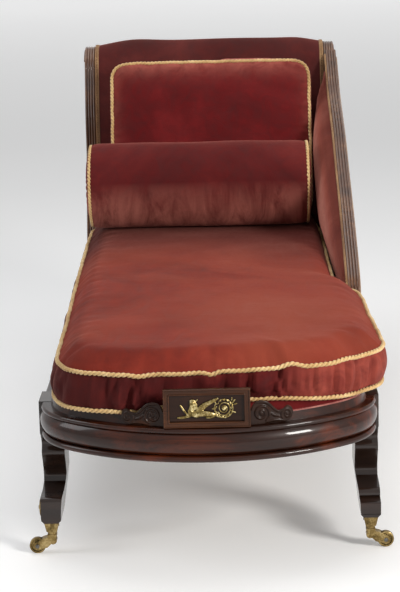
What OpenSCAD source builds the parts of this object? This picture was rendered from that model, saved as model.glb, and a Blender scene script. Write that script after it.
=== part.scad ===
// A mahogany recamier with a bowed foot, a scrolled head and a half-length arm on the right.
// Millimetres. +X is to the sitter's side with the arm, +Y runs from foot to head, +Z is up.
// The origin lies on the floor, under the middle of the whole piece.

/* [Overall] */
// Length over all, from the bow of the foot rail to the back of the head scroll
overall_l = 1840; // [1780:10:1900]
// Width over the corner blocks of the legs
frame_w = 666; // [640:2:690]
// Height of the top of the upholstered head above the floor
back_h = 864; // [850:1:880]

/* [Seat frame] */
// Height of the underside of the rails above the floor
rail_base = 232; // [228:1:236]
// Height of the rails
rail_h = 81; // [80:0.5:82]
// Thickness of the rails, from the outermost moulding inwards
rail_t = 50; // [47:1:54]
// Distance that the foot rail bows out past the corner blocks
bow_depth = 216; // [208:1:224]
// Radius of the tight curve at each end of the bow
bow_corner_r = 150; // [142:1:156]
// Distance that the mouldings stand in from the face of the corner blocks
moulding_inset = 3; // [2:0.5:4]
// Distance that the head scroll reaches past the head corner blocks
scroll_overhang = 194; // [184:2:204]
// Width of each cross brace under the seat
brace_w = 62; // [54:1:70]
// Thickness of each cross brace
brace_t = 26; // [22:1:30]

/* [Legs] */
// Thickness of a leg at the rails, across the width of the seat
leg_t = 46; // [44:1:48]
// Depth of a corner block, along the length of the seat
leg_d = 75; // [71:1:79]
// Thickness of the scrolled toe of a leg
toe_t = 39; // [37:0.5:40]
// Distance that the toe juts out past the corner block
toe_reach = 58; // [55:1:61]

/* [Casters] */
// Diameter of a caster wheel
wheel_d = 32; // [30:1:34]
// Width of a caster wheel
wheel_w = 11; // [10:0.5:12]
// Distance from the swivel pin to the wheel axle
trail = 29.5; // [28:0.5:31]
// Diameter of the wheel axle
axle_d = 5; // [4:0.5:6]
// Diameter of the swivel pin
swivel_d = 6; // [5:0.5:7]
// Width of the square cap at its top
cap_top_w = 28; // [27:0.5:29]
// Width of the square cap at its foot
cap_foot_w = 20.5; // [20:0.5:22]

/* [Head and arm] */
// Width of the reeded show wood
show_w = 27; // [24:1:29]
// Number of reeds along the show wood
reeds = 4; // [3:1:5]
// Radius of the head scroll
scroll_r = 66; // [64:1:68]
// Length from the foot corner blocks to the front end of the arm
arm_start = 560; // [520:5:600]
// Depth of the arm rail below its reeds
arm_rail_d = 24; // [20:1:28]
// Distance that the arm rail stands out past the head post
arm_flare = 5; // [3:0.5:7]

/* [Tablet] */
// Width of the tablet on the foot rail
tablet_w = 162; // [154:1:168]
// Height of the tablet
tablet_h = 74; // [71:1:78]
// Thickness of the tablet
tablet_t = 9; // [8:0.5:10]

/* [Upholstery] */
// Height of the fixed seat above the rails
deck_h = 20; // [17:0.5:23]
// Height of the sewn top edge of the squab above the fixed seat
squab_side_h = 57; // [53:1:61]
// Height of the squab's crown above its sewn top edge
squab_crown = 43; // [39:1:47]
// Diameter of the cord sewn round the cushions
cord_d = 9; // [8:0.5:10]
// Diameter of the bolster
bolster_d = 208; // [200:2:214]
// Distance from the left post to the bolster's left cord
bolster_gap_left = 8.5; // [8:1:14]
// Distance from the right post to the bolster's right cord
bolster_gap_right = 63.5; // [60:1:75]
// Distance from the left post to the pillow
pillow_gap_left = 52; // [48:1:58]
// Distance from the right post to the pillow
pillow_gap_right = 45; // [42:1:58]
// Height of the pillow
pillow_h = 406; // [400:2:412]
// Thickness of the pillow at its sewn sides
pillow_t = 84; // [76:2:88]
// Thickness of the upholstered back
back_pad_t = 26; // [24:1:27]

/* [Hidden] */
$fn = 64;

// Clearances and small allowances
soft_gap = 0.4;      // between a loose cushion and what it lies on
fit_gap = 0.2;       // round a tenon, and round a leg's toe in its cap
pin_gap = 0.05;      // round a swivel pin or an axle, all round
run_gap = 0.3;       // between faces that turn past each other
glue_gap = 0.05;     // thickness of a glue line
overrun = 1;         // how far a cut runs past the face that it opens

// Places that the whole frame shares
foot_y = -overall_l / 2 + bow_depth;                  // outer face of the foot corner blocks
head_y = overall_l / 2 - scroll_overhang;             // outer face of the head corner blocks
rail_top = rail_base + rail_h;
side_out = frame_w / 2 - moulding_inset;              // outermost line of the side rails
corner_x = side_out - bow_corner_r;                   // centre of the bow's tight curve
bow_r = (corner_x * corner_x + bow_depth * bow_depth - bow_corner_r * bow_corner_r)
    / (2 * (bow_depth - bow_corner_r));               // radius of the bow's front curve
bow_y = foot_y - bow_depth + bow_r;                   // centre of that curve
bow_angle = asin(corner_x / (bow_r - bow_corner_r));  // where the two curves meet

// Section of the rails: depths inwards from the outermost line, heights above the underside
bead_r = 6.2;          // bottom bead
bead_in = 2.5;         // how far the bottom bead stands in
quirk = 2;             // height of the grooves beside the ovolo
quirk_in = 14;         // depth of those grooves
ovolo_h = 41;          // height of the big ovolo
ovolo_r = 29;          // radius of its curve
top_bead_r = 5;        // top bead
top_bead_in = 3;       // how far the top bead stands in
step_in = 21.5;        // where the fascia rises behind the top bead
fascia_in = 25;        // where the fascia meets the top of the rail
ovolo_low = 2 * bead_r + quirk;
ovolo_mid = ovolo_low + ovolo_h / 2;
top_bead_low = ovolo_low + ovolo_h;
step_h = top_bead_low + 2 * top_bead_r + quirk / 4;   // top of the wood in front of the fascia

// Points along an arc, and a smooth curve through points
function arc(c, r, a0, a1, n) = [
    for (i = [0:n]) let (a = a0 + (a1 - a0) * i / n) c + r * [cos(a), sin(a)]
];
function blend(a, b, c, d, t) =
    (2 * b + (c - a) * t + (2 * a - 5 * b + 4 * c - d) * t * t
    + (3 * b - a - 3 * c + d) * t * t * t) / 2;
function curve(p, n) = [
    for (i = [0:len(p) - 2]) for (k = [0:n - 1])
        blend(p[max(i - 1, 0)], p[i], p[i + 1], p[min(i + 2, len(p) - 1)], k / n),
    p[len(p) - 1]
];
function loop(p, n) = let (m = len(p)) [
    for (i = [0:m - 1]) for (k = [0:n - 1])
        blend(p[(i + m - 1) % m], p[i], p[(i + 1) % m], p[(i + 2) % m], k / n)
];
function unit(v) = v / norm(v);
function wave(a, power) = sign(a) * pow(abs(a), power);
// The line of the bow, drawn in by a depth, from its left end to its right end
function bow_line(depth, n) = concat(
    arc([-corner_x, foot_y], bow_corner_r - depth, 180, 270 - bow_angle, n),
    [for (i = [1:2 * n - 1]) let (a = 270 - bow_angle + bow_angle * i / n)
        [0, bow_y] + (bow_r - depth) * [cos(a), sin(a)]],
    arc([corner_x, foot_y], bow_corner_r - depth, 270 + bow_angle, 360, n));
// The plan of the seat, drawn in by a depth at the front and sides, back to a given place
function seat_plan(depth, back, n) =
    concat(bow_line(depth, n), [[side_out - depth, back], [depth - side_out, back]]);

// A solid through rings of equally many points, closed by its end rings
module skin(rings) {
    n = len(rings[0]);
    m = len(rings);
    polyhedron(points = [for (r = rings) each r], faces = concat(
        [[for (i = [0:n - 1]) i]],
        [for (j = [0:m - 2]) for (i = [0:n - 1]) let (k = (i + 1) % n, a = j * n, b = a + n)
            each [[a + i, b + i, b + k], [a + i, b + k, a + k]]],
        [[for (i = [n - 1:-1:0]) (m - 1) * n + i]]));
}
// A solid through rings, closed by a point at each end
module domed(first, rings, last) {
    n = len(rings[0]);
    m = len(rings);
    polyhedron(points = concat([first], [for (r = rings) each r], [last]), faces = concat(
        [for (i = [0:n - 1]) [0, 1 + i, 1 + (i + 1) % n]],
        [for (j = [0:m - 2]) for (i = [0:n - 1]) let (k = (i + 1) % n, a = 1 + j * n, b = a + n)
            each [[a + i, b + i, b + k], [a + i, b + k, a + k]]],
        [for (i = [0:n - 1]) let (a = 1 + (m - 1) * n) [a + i, m * n + 1, a + (i + 1) % n]]));
}
// A tube round a closed path
module cord_loop(path, r, sides) {
    m = len(path);
    points = [for (j = [0:m - 1]) let (
        t = unit(path[(j + 1) % m] - path[(j + m - 1) % m]),
        u = unit(cross(t, abs(t[2]) < 0.9 ? [0, 0, 1] : [0, 1, 0])), v = cross(t, u))
        for (i = [0:sides - 1]) path[j] + r * (cos(360 * i / sides) * u + sin(360 * i / sides) * v)];
    polyhedron(points = points, faces = [
        for (j = [0:m - 1]) for (i = [0:sides - 1])
            let (k = (i + 1) % sides, a = j * sides, b = ((j + 1) % m) * sides)
            each [[a + i, b + i, b + k], [a + i, b + k, a + k]]]);
}

wood = [0.33, 0.13, 0.08];
dark_wood = [0.22, 0.09, 0.06];
plain_wood = [0.72, 0.58, 0.40];
brass = [0.72, 0.60, 0.34];
velvet = [0.50, 0.13, 0.13];
faded_velvet = [0.60, 0.26, 0.22];
gold = [0.86, 0.70, 0.40];
linen = [0.70, 0.62, 0.46];
steel = [0.55, 0.55, 0.55];

// Seat frame
tenon_l = 28;          // reach of a tenon
tenon_t = 12;          // thickness of a tenon
tenon_shoulder = 14;   // wood below a tenon
tenon_h = step_h - tenon_shoulder * 1.5;   // height of a tenon, under the step of the rails
leg_x = frame_w / 2 - leg_t / 2;
function rail_profile() = concat(
    [[rail_t, 0]],
    arc([bead_in + bead_r, bead_r], bead_r, 270, 90, 12),
    [[quirk_in, 2 * bead_r], [quirk_in, ovolo_low]],
    arc([ovolo_r, ovolo_mid], ovolo_r, 180 + asin(ovolo_h / 2 / ovolo_r),
        180 - asin(ovolo_h / 2 / ovolo_r), 16),
    [[quirk_in, top_bead_low]],
    arc([top_bead_in + top_bead_r, top_bead_low + top_bead_r], top_bead_r, 240, 90, 8),
    [[step_in, top_bead_low + 2 * top_bead_r]],
    [[fascia_in, rail_h], [rail_t, rail_h]]);

module tenon(x, y, reach, gap) {
    translate([x - tenon_t / 2 - gap, y, rail_base + tenon_shoulder - gap])
        cube([tenon_t + 2 * gap, reach + gap, tenon_h + 2 * gap]);
}
// The bow is built up of a front piece and two tightly curved ends, butted and glued
seam_angle = glue_gap / bow_r * 180 / PI;
module foot_rail() {
    color(wood) translate([0, bow_y, rail_base]) rotate([0, 0, 270 - bow_angle + seam_angle])
        rotate_extrude(angle = 2 * (bow_angle - seam_angle), $fn = 360)
            polygon([for (p = rail_profile()) [bow_r - p[0], p[1]]]);
}
module bow_end(side) {
    color(wood) scale([side, 1, 1]) {
        translate([-corner_x, foot_y, rail_base]) rotate([0, 0, 180])
            rotate_extrude(angle = 90 - bow_angle, $fn = 180)
                polygon([for (p = rail_profile()) [bow_corner_r - p[0], p[1]]]);
        tenon(-leg_x, foot_y - overrun, overrun + tenon_l, 0);
    }
}
module bow_end_left() { bow_end(1); }
module bow_end_right() { bow_end(-1); }
rail_front = foot_y + leg_d;
rail_rear = head_y - leg_d;
module side_rail(side) {
    color(wood) {
        translate([0, rail_rear, rail_base]) rotate([90, 0, 0])
            linear_extrude(rail_rear - rail_front)
                polygon([for (p = rail_profile()) [side * (side_out - p[0]), p[1]]]);
        tenon(side * leg_x, rail_front - tenon_l, tenon_l + overrun, 0);
        tenon(side * leg_x, rail_rear - overrun, tenon_l + overrun, 0);
    }
}
module side_rail_left() { side_rail(-1); }
module side_rail_right() { side_rail(1); }

head_rail_t = 30;      // thickness of the plain rail between the head legs
leg_inner = frame_w / 2 - leg_t;
head_rail_set = 5;     // how far that rail stands in from the outer face of the head legs
head_rail_y = head_y - head_rail_set - head_rail_t / 2;
module head_rail() {
    color(plain_wood) {
        translate([-leg_inner, head_rail_y - head_rail_t / 2, rail_base])
            cube([2 * leg_inner, head_rail_t, rail_h]);
        for (side = [-1, 1]) translate([side * leg_inner, 0, 0]) head_tenon(side, 0);
    }
}
head_tenon_l = leg_t - tenon_l / 2 - tenon_t;
module head_tenon(side, gap) {
    translate([side > 0 ? -overrun : -head_tenon_l - gap, head_rail_y - tenon_t / 2 - gap,
        rail_base + tenon_shoulder - gap])
        cube([head_tenon_l + overrun + gap, tenon_t + 2 * gap,
            tenon_h + 2 * gap]);
}

// Cross braces lie between the side rails, flush with the underside of the frame
brace_share = [0.2, 0.72];
rail_inner = side_out - rail_t;
function brace_y(i) = rail_front + brace_share[i] * (rail_rear - rail_front);
module cross_braces() {
    color(plain_wood) for (i = [0, 1])
        translate([-rail_inner, brace_y(i) - brace_w / 2, rail_base])
            cube([2 * rail_inner, brace_w, brace_t]);
}

// Triangular blocks glued and screwed into the corners under the seat
block_leg = 62;        // length of a corner block along each rail
block_h = 44;          // height of a corner block
screw_d = 4;           // shank of a wood screw
screw_head_d = 8;      // head of a wood screw
screw_l = 26;          // length of a block screw
block_low = rail_base + (rail_h - block_h) / 2;
function block_corner(i) = [
    (i % 2 == 0 ? -1 : 1) * rail_inner,
    i < 2 ? rail_front : head_rail_y - head_rail_t / 2];
module block_frame(i) {
    c = block_corner(i);
    translate([c[0], c[1], block_low]) scale([i % 2 == 0 ? 1 : -1, i < 2 ? 1 : -1, 1]) children();
}
module corner_blocks() {
    color(plain_wood) for (i = [0:3]) block_frame(i)
        difference() {
            linear_extrude(block_h) polygon([[0, 0], [block_leg, 0], [0, block_leg]]);
            block_shank(pin_gap);
        }
}
// The screw enters square to the block's slanted face
block_face = block_leg / sqrt(2);
module block_shank(gap) {
    translate([0, 0, block_h / 2]) rotate([0, 0, 45]) rotate([0, 90, 0]) {
        translate([0, 0, -overrun]) cylinder(d = screw_d + 2 * gap, h = block_face + 2 * overrun);
    }
}
module block_screws() {
    color(steel) for (i = [0:3]) block_frame(i)
        translate([0, 0, block_h / 2]) rotate([0, 0, 45]) rotate([0, 90, 0]) {
            translate([0, 0, block_face - screw_l]) cylinder(d = screw_d, h = screw_l + screw_d / 4);
            translate([0, 0, block_face]) cylinder(d = screw_head_d, h = screw_d / 2);
        }
}

// Legs. Shares are of the corner block's depth, away from the toe, and of the rail's height.
LEG_FRONT_SHARES = [
    [0, 1], [0.27, 0.894], [0.16, 0.809], [0.33, 0.711], [0.46, 0.6], [0.42, 0.535]
];
LEG_REAR_SHARES = [
    [0.1, 0.3], [0.6, 0.335], [1.12, 0.44], [1.36, 0.6], [1.28, 0.8], [1.1, 0.94], [1, 1]
];
ledge_share = 0.505;       // height of the top of the toe's scroll
toe_low_share = 0.3;       // height of the foot of the toe's scroll
toe_round = 9;             // rounding of the toe's upper front edge
toe_step_share = 0.435;    // height of the second ledge on a stepped toe
toe_back_shares = [0.62, 0.55, 0.98];   // reach of that ledge and of the parts below it
cap_wall = 2;              // thickness of the cap
cap_low = 45.5;            // height of the cap's floor
cap_top = 64;              // height of the cap's rim
cap_plate = 5.5;           // thickness of the cap's floor
leg_set = 0.5;             // how far a leg's outer face stands in from the corner block's
cap_x = frame_w / 2 - leg_set - toe_t / 2;
cap_set = 40;              // distance from the corner block's face out to the swivel pin
peg_clear = 5;             // room between the toe's peg and the cap's floor, for the rivet
toe_peg = cap_top - cap_low - cap_plate - peg_clear;
toe_peg_low = cap_top - toe_peg;

function cap_half(z) =
    (cap_foot_w + (cap_top_w - cap_foot_w) * (z - cap_low) / (cap_top - cap_low)) / 2;
function peg_half(z) = cap_half(z) - cap_wall - fit_gap;
function toe_front(stepped) = stepped
    ? concat(
        [[0, ledge_share * rail_base + toe_round / 2]],
        arc([-toe_reach * toe_back_shares[0] + toe_round, ledge_share * rail_base - toe_round],
            toe_round, 90, 180, 4),
        [[-toe_reach * toe_back_shares[0], toe_step_share * rail_base + toe_round / 3],
         [-toe_reach * toe_back_shares[1], toe_step_share * rail_base]],
        arc([-toe_reach + toe_round / 2, toe_step_share * rail_base - toe_round], toe_round / 2,
            90, 180, 4),
        [[-toe_reach * toe_back_shares[2], toe_low_share * rail_base + toe_round / 3]])
    : concat(
        [[0, ledge_share * rail_base]],
        arc([-toe_reach + toe_round, ledge_share * rail_base - toe_round], toe_round, 90, 180, 5),
        [[-toe_reach, toe_low_share * rail_base + toe_round]]);
function leg_side(stepped) = concat(
    [[leg_d, rail_top], [0, rail_top]],
    curve([for (s = LEG_FRONT_SHARES) [s[0] * leg_d, s[1] * rail_base]], 5),
    toe_front(stepped),
    [[-cap_set - peg_half(cap_top) - cap_wall, toe_low_share * rail_base],
     [-cap_set - cap_half(cap_top), cap_top],
     [-cap_set - peg_half(cap_top), cap_top],
     [-cap_set - peg_half(toe_peg_low), toe_peg_low],
     [-cap_set + peg_half(toe_peg_low), toe_peg_low],
     [-cap_set + peg_half(cap_top), cap_top],
     [-cap_set + cap_half(cap_top), cap_top]],
    curve([for (s = LEG_REAR_SHARES) [s[0] * leg_d, s[1] * rail_base]], 5));
knee_share = 0.6;          // height above which the inner face stays upright
ankle_share = 0.42;        // height at which it has drawn in to the toe
ankle_swell = 1.5;         // how much wider than the toe the leg is there
// Seen from the end: the inner face draws in towards the toe. At the foot the block is cut back
// in line with the fascia of the rail.
function leg_end(end) = let (o = frame_w / 2, x = cap_x) concat(
    end < 0 ? [[side_out - fascia_in, rail_top], [side_out - fascia_in, rail_base + step_h],
        [o, rail_base + step_h]] : [[o, rail_top]], [
    [o, rail_base], [o - leg_set, rail_base],
    [x + toe_t / 2, toe_low_share * rail_base], [x + cap_half(cap_top), cap_top],
    [x + peg_half(cap_top), cap_top],
    [x + peg_half(toe_peg_low), toe_peg_low], [x - peg_half(toe_peg_low), toe_peg_low],
    [x - peg_half(cap_top), cap_top],
    [x - cap_half(cap_top), cap_top],
    [x - toe_t / 2, toe_low_share * rail_base],
    [x - toe_t / 2 - ankle_swell, rail_base * ankle_share],
    [o - leg_t, rail_base * knee_share], [o - leg_t, rail_top]]);
// Places a piece drawn at the foot end with its toe towards -Y, or turns it to the head end
module at_corner(end) {
    translate([0, end < 0 ? foot_y : head_y, 0]) scale([1, end < 0 ? 1 : -1, 1]) children();
}
module leg(side, end, stepped) {
    color(dark_wood) difference() {
        at_corner(end) intersection() {
            rotate([90, 0, 90]) translate([0, 0, side > 0 ? 0 : -frame_w])
                linear_extrude(frame_w) polygon(leg_side(stepped));
            translate([0, 2 * leg_d, 0]) rotate([90, 0, 0])
                linear_extrude(4 * leg_d) polygon([for (p = leg_end(end)) [side * p[0], p[1]]]);
        }
        if (end < 0) {
            tenon(side * leg_x, foot_y - overrun, tenon_l + overrun, fit_gap);
            tenon(side * leg_x, rail_front - tenon_l - fit_gap, tenon_l + overrun, fit_gap);
        } else {
            tenon(side * leg_x, rail_rear - overrun, tenon_l + overrun, fit_gap);
            translate([side * leg_inner, 0, 0]) head_tenon(side, fit_gap);
            post_mortise(side);
        }
        caster_place(side, end) cap_screw_shank(pin_gap);
    }
}
module leg_foot_left() { leg(-1, -1, false); }
module leg_foot_right() { leg(1, -1, true); }
module leg_head_left() { leg(-1, 1, false); }
module leg_head_right() { leg(1, 1, true); }

// Brass paterae on the outer face of the toe scrolls, on the open side
patera_r = 18;         // radius of a patera
patera_t = 3;          // thickness of its flange
patera_rise = 6;       // how far its boss stands out
patera_shares = [0.61, 0.45];   // radii of its hollow and of its boss
patera_z = rail_base * (ledge_share + toe_low_share) / 2;
patera_set = 32;       // distance from the corner block's face out to a patera
module toe_paterae() {
    color(brass) for (end = [-1, 1]) at_corner(end)
        translate([-frame_w / 2 + leg_set, -patera_set, patera_z]) rotate([0, -90, 0])
            rotate_extrude() polygon(concat(
                [[0, 0], [patera_r, 0], [patera_r, patera_t / 2]],
                arc([patera_r - patera_t / 2, patera_t / 2], patera_t / 2, 0, 90, 4),
                [[patera_r * patera_shares[0], patera_t * patera_shares[0]]],
                arc([0, 0], patera_r * patera_shares[1], 20, 70, 6)
                    * [[1, 0], [0, patera_rise / patera_r / patera_shares[1]]],
                [[0, patera_rise]]));
}

// Casters. Each is drawn round its swivel pin, trailing towards +X, and turned to its side.
wheel_r = wheel_d / 2;
collar_h = 5.5;        // height of the round collar under the cap
horn_top = cap_low - collar_h - run_gap;
collar_r = 9;          // radius of that collar
plate_t = 5.5;         // thickness of the horn's swivel plate
rivet_h = 2;           // thickness of the riveted end of the swivel pin
cheek_t = 3;           // thickness of each cheek beside the wheel
cheek_gap = 0.6;       // between a cheek and the wheel
slot_w = wheel_w + 2 * cheek_gap;
horn_w = slot_w + 2 * cheek_t;
module caster_place(side, end) {
    at_corner(end) translate([side * cap_x, -cap_set, 0]) scale([side, 1, 1]) children();
}
module frustum(half, low, high, slope_half) {
    intersection() {
        rotate([90, 0, 0]) linear_extrude(4 * cap_top_w, center = true)
            polygon([[-half, low], [half, low], [slope_half, high], [-slope_half, high]]);
        rotate([90, 0, 90]) linear_extrude(4 * cap_top_w, center = true)
            polygon([[-half, low], [half, low], [slope_half, high], [-slope_half, high]]);
    }
}
cavity_low = cap_low + cap_plate;
module caster_cap(side, end) {
    color(brass) caster_place(side, end) difference() {
        union() {
            frustum(cap_half(cap_low), cap_low, cap_top, cap_half(cap_top));
            translate([0, 0, cap_low - collar_h]) cylinder(r = collar_r, h = collar_h + overrun);
        }
        frustum(cap_half(cavity_low) - cap_wall, cavity_low, cap_top + overrun,
            cap_half(cap_top + overrun) - cap_wall);
        translate([0, 0, cap_low - collar_h - overrun])
            cylinder(d = swivel_d + 2 * pin_gap, h = collar_h + cap_plate + 2 * overrun);
        cap_screw_shank(pin_gap);
    }
}
cap_screw_drop = 7;    // a cap screw's distance below the cap's rim
cap_screw_z = cap_top - cap_screw_drop;
cap_screw_d = 3;
cap_screw_l = 15;
module cap_screw_shank(gap) {
    translate([-cap_half(cap_screw_z), 0, cap_screw_z]) rotate([0, 90, 0])
        translate([0, 0, -overrun]) cylinder(d = cap_screw_d + 2 * gap, h = cap_screw_l + overrun);
}
module cap_screws() {
    color(brass) for (side = [-1, 1]) for (end = [-1, 1]) caster_place(side, end)
        translate([-cap_half(cap_screw_z), 0, cap_screw_z]) rotate([0, 90, 0]) {
            translate([0, 0, -cap_wall / 2]) cylinder(d = cap_screw_d, h = cap_screw_l);
            translate([0, 0, -cap_wall / 2 - cap_wall / 4])
                cylinder(d = 2 * cap_screw_d, h = cap_wall / 2);
        }
}
horn_wall = 5.5;       // metal round the axle
horn_neck = 2;         // extra reach of the hollow under the plate
function horn_side() = let (low = horn_top - plate_t, hub = axle_d / 2 + horn_wall,
    bend = plate_t + horn_neck) concat(
    [[-collar_r, horn_top], [-collar_r, low]],
    arc([-collar_r + bend, low - bend], bend, 130, 300, 10),
    [[trail / 3, wheel_r * 0.8]],
    arc([trail, wheel_r], hub, 235, 420, 12),
    [[trail * 0.62, low - plate_t / 2], [collar_r, low], [collar_r, horn_top]]);
module caster_horn(side, end) {
    color(brass) caster_place(side, end) {
        difference() {
            rotate([90, 0, 0]) linear_extrude(horn_w, center = true) polygon(horn_side());
            translate([trail, 0, wheel_r]) rotate([90, 0, 0])
                cylinder(r = wheel_r + 2 * cheek_gap, h = slot_w, center = true);
            translate([trail, 0, wheel_r]) rotate([90, 0, 0])
                cylinder(d = axle_d, h = 2 * horn_w, center = true);
        }
        translate([0, 0, horn_top - overrun])
            cylinder(d = swivel_d, h = collar_h + cap_plate + 2 * run_gap + overrun + rivet_h / 2);
        translate([0, 0, cavity_low + run_gap]) cylinder(d = swivel_d + 2 * rivet_h, h = rivet_h);
    }
}
axle_head = 1.5;       // thickness of an axle's head outside the cheek
module caster_axle(side, end) {
    color(steel) caster_place(side, end) translate([trail, 0, wheel_r]) rotate([90, 0, 0]) {
        cylinder(d = axle_d, h = horn_w + 2 * axle_head, center = true);
        for (z = [-1, 1]) translate([0, 0, z * (horn_w + axle_head) / 2])
            cylinder(d = 1.6 * axle_d, h = axle_head, center = true);
    }
}
wheel_dish = 2.5;      // depth of the hollow turned in each face of a wheel
rim_t = 3.5;           // thickness of a wheel's rim
hub_r = 5.5;           // radius of a wheel's hub
wheel_bevel = 1;       // slope into the hollow
tread_r = 1.5;         // rounding of the tread's edges
module caster_wheel(side, end) {
    bore = axle_d / 2 + pin_gap;
    half = wheel_w / 2;
    color(brass) caster_place(side, end) translate([trail, 0, wheel_r]) rotate([90, 0, 0])
        rotate_extrude() polygon(concat(
            [[bore, -half], [hub_r, -half], [hub_r + wheel_bevel, -half + wheel_dish],
             [wheel_r - rim_t - wheel_bevel, -half + wheel_dish], [wheel_r - rim_t, -half]],
            arc([wheel_r - tread_r, -half + tread_r], tread_r, 270, 360, 3),
            arc([wheel_r - tread_r, half - tread_r], tread_r, 0, 90, 3),
            [[wheel_r - rim_t, half], [wheel_r - rim_t - wheel_bevel, half - wheel_dish],
             [hub_r + wheel_bevel, half - wheel_dish], [hub_r, half], [bore, half]]));
}
module caster_cap_foot_left() { caster_cap(-1, -1); }
module caster_cap_foot_right() { caster_cap(1, -1); }
module caster_cap_head_left() { caster_cap(-1, 1); }
module caster_cap_head_right() { caster_cap(1, 1); }
module caster_horn_foot_left() { caster_horn(-1, -1); }
module caster_horn_foot_right() { caster_horn(1, -1); }
module caster_horn_head_left() { caster_horn(-1, 1); }
module caster_horn_head_right() { caster_horn(1, 1); }
module caster_axle_foot_left() { caster_axle(-1, -1); }
module caster_axle_foot_right() { caster_axle(1, -1); }
module caster_axle_head_left() { caster_axle(-1, 1); }
module caster_axle_head_right() { caster_axle(1, 1); }
module caster_wheel_foot_left() { caster_wheel(-1, -1); }
module caster_wheel_foot_right() { caster_wheel(1, -1); }
module caster_wheel_head_left() { caster_wheel(-1, 1); }
module caster_wheel_head_right() { caster_wheel(1, 1); }

// Tablet on the foot rail, with its scrolled brackets and its brass mount
tablet_set = 12;       // how far the tablet's face stands in from the bow's outermost line
frame_border = 11;     // width of the raised border round the panel
frame_proud = 3;       // how far the border stands proud of the panel
tablet_y = foot_y - bow_depth + tablet_set;
tablet_low = rail_base + step_h;
mount_proud = 3.5;     // relief of the brass mount
pin_d = 1.6;           // shank of a mount pin
module tablet_plate(depth, front, border) {
    translate([0, tablet_y + front + depth, tablet_low]) rotate([90, 0, 0])
        linear_extrude(depth)
            translate([-tablet_w / 2 + border, border]) square([tablet_w - 2 * border,
                tablet_h - 2 * border]);
}
module tablet_panel() {
    color(dark_wood) difference() {
        tablet_plate(tablet_t - frame_proud, frame_proud, 0);
        mount_pin_shanks(pin_gap);
    }
}
module tablet_frame() {
    color(wood) difference() {
        tablet_plate(frame_proud, 0, 0);
        tablet_plate(frame_proud + 2 * overrun, -overrun, frame_border);
    }
}

// A scrolled bracket: a hump over a big scroll beside the tablet, falling to a small scroll
volute_l = 84;         // length of a bracket
volute_h = 46;         // height of its hump
volute_t = 6.5;        // thickness of its plate
volute_cut = 1.4;      // depth of the carved spiral
groove_w = 2;          // width of its groove
big_scroll_r = 15.5;   // radius of the spiral beside the tablet
small_scroll_r = 10;   // radius of the spiral at the tip
eye_shares = [[0.25, 0.48], [0.85, 0.34]];   // middles of the two spirals
volute_set = 13;       // how far the plate's face stands in from the bow's outermost line
VOLUTE_TOP_SHARES = [
    [0, 0.62], [0.1, 0.9], [0.25, 1], [0.4, 0.9], [0.52, 0.66], [0.64, 0.48], [0.75, 0.52],
    [0.86, 0.68], [0.95, 0.62], [1, 0.42]
];
VOLUTE_FOOT_SHARES = [[0.97, 0.2], [0.88, 0.06], [0.74, 0], [0, 0]];
function volute_outline() = [for (s = concat(curve(VOLUTE_TOP_SHARES, 4), curve(VOLUTE_FOOT_SHARES, 3)))
    [s[0] * volute_l, s[1] * volute_h]];
function spiral(c, r, turn, from, turns, n) = [for (i = [0:n]) let (t = i / n)
    c + r * (1 - 0.8 * t) * [cos(from + turn * 360 * turns * t), sin(from + turn * 360 * turns * t)]];
module groove(path, w) {
    polygon(concat(
        [for (i = [0:len(path) - 1]) path[i] + w / 2 * across(path, i)],
        [for (i = [len(path) - 1:-1:0]) path[i] - w / 2 * across(path, i)]));
}
function across(path, i) = let (t = unit(path[min(i + 1, len(path) - 1)] - path[max(i - 1, 0)]))
    [-t[1], t[0]];
volute_angle = asin((tablet_w / 2 + volute_l / 2) / bow_r);
module tablet_volute(side) {
    r = bow_r - volute_set;
    start = asin((tablet_w / 2 + soft_gap) / bow_r);
    color(dark_wood) translate([side * (tablet_w / 2 + soft_gap), bow_y - r * cos(start), tablet_low])
        scale([side, 1, 1]) rotate([90, 0, volute_angle]) translate([0, 0, -volute_t]) difference() {
            linear_extrude(volute_t) polygon(volute_outline());
            translate([0, 0, volute_t - volute_cut]) linear_extrude(volute_cut + overrun) {
                groove(spiral([volute_l * eye_shares[0][0], volute_h * eye_shares[0][1]], big_scroll_r, 1,
                    -60, 1.6, 44), groove_w);
                groove(spiral([volute_l * eye_shares[1][0], volute_h * eye_shares[1][1]], small_scroll_r,
                    -1, 240, 1.3, 32), groove_w * 0.9);
            }
        }
}
module tablet_volute_left() { tablet_volute(-1); }
module tablet_volute_right() { tablet_volute(1); }

// Reclining winged sphinx with a scrolled, leafy tail, in low relief: shares of its own box
mount_w = 111;         // width of the mount
mount_h = 42;          // height of the mount
SPHINX_BODY_SHARES = [
    [0, 0.02], [0.02, 0.1], [0.12, 0.13], [0.22, 0.16], [0.2, 0.3], [0.22, 0.42], [0.26, 0.5],
    [0.3, 0.52], [0.36, 0.5], [0.42, 0.42], [0.5, 0.33], [0.58, 0.28], [0.64, 0.2], [0.68, 0.1],
    [0.66, 0.03], [0.5, 0.03], [0.3, 0.04], [0.15, 0.03]
];
SPHINX_WING_SHARES = [
    [0.33, 0.36], [0.36, 0.56], [0.44, 0.74], [0.54, 0.9], [0.66, 1], [0.69, 0.95], [0.64, 0.86],
    [0.66, 0.8], [0.6, 0.72], [0.61, 0.64], [0.54, 0.56], [0.54, 0.48], [0.46, 0.38]
];
head_share = [0.26, 0.72];
neck_share = [0.24, 0.42];
paw_share = [0.12, 0.08];
rump_share = [0.6, 0.16];
tail_share = [0.79, 0.5];
fan_shares = [[0.06, 0.68], [0.15, 0.2]];
function mount_points(shares) = [for (s = shares) [s[0] * mount_w, s[1] * mount_h]];
tail_r = mount_h * 0.42;
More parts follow.
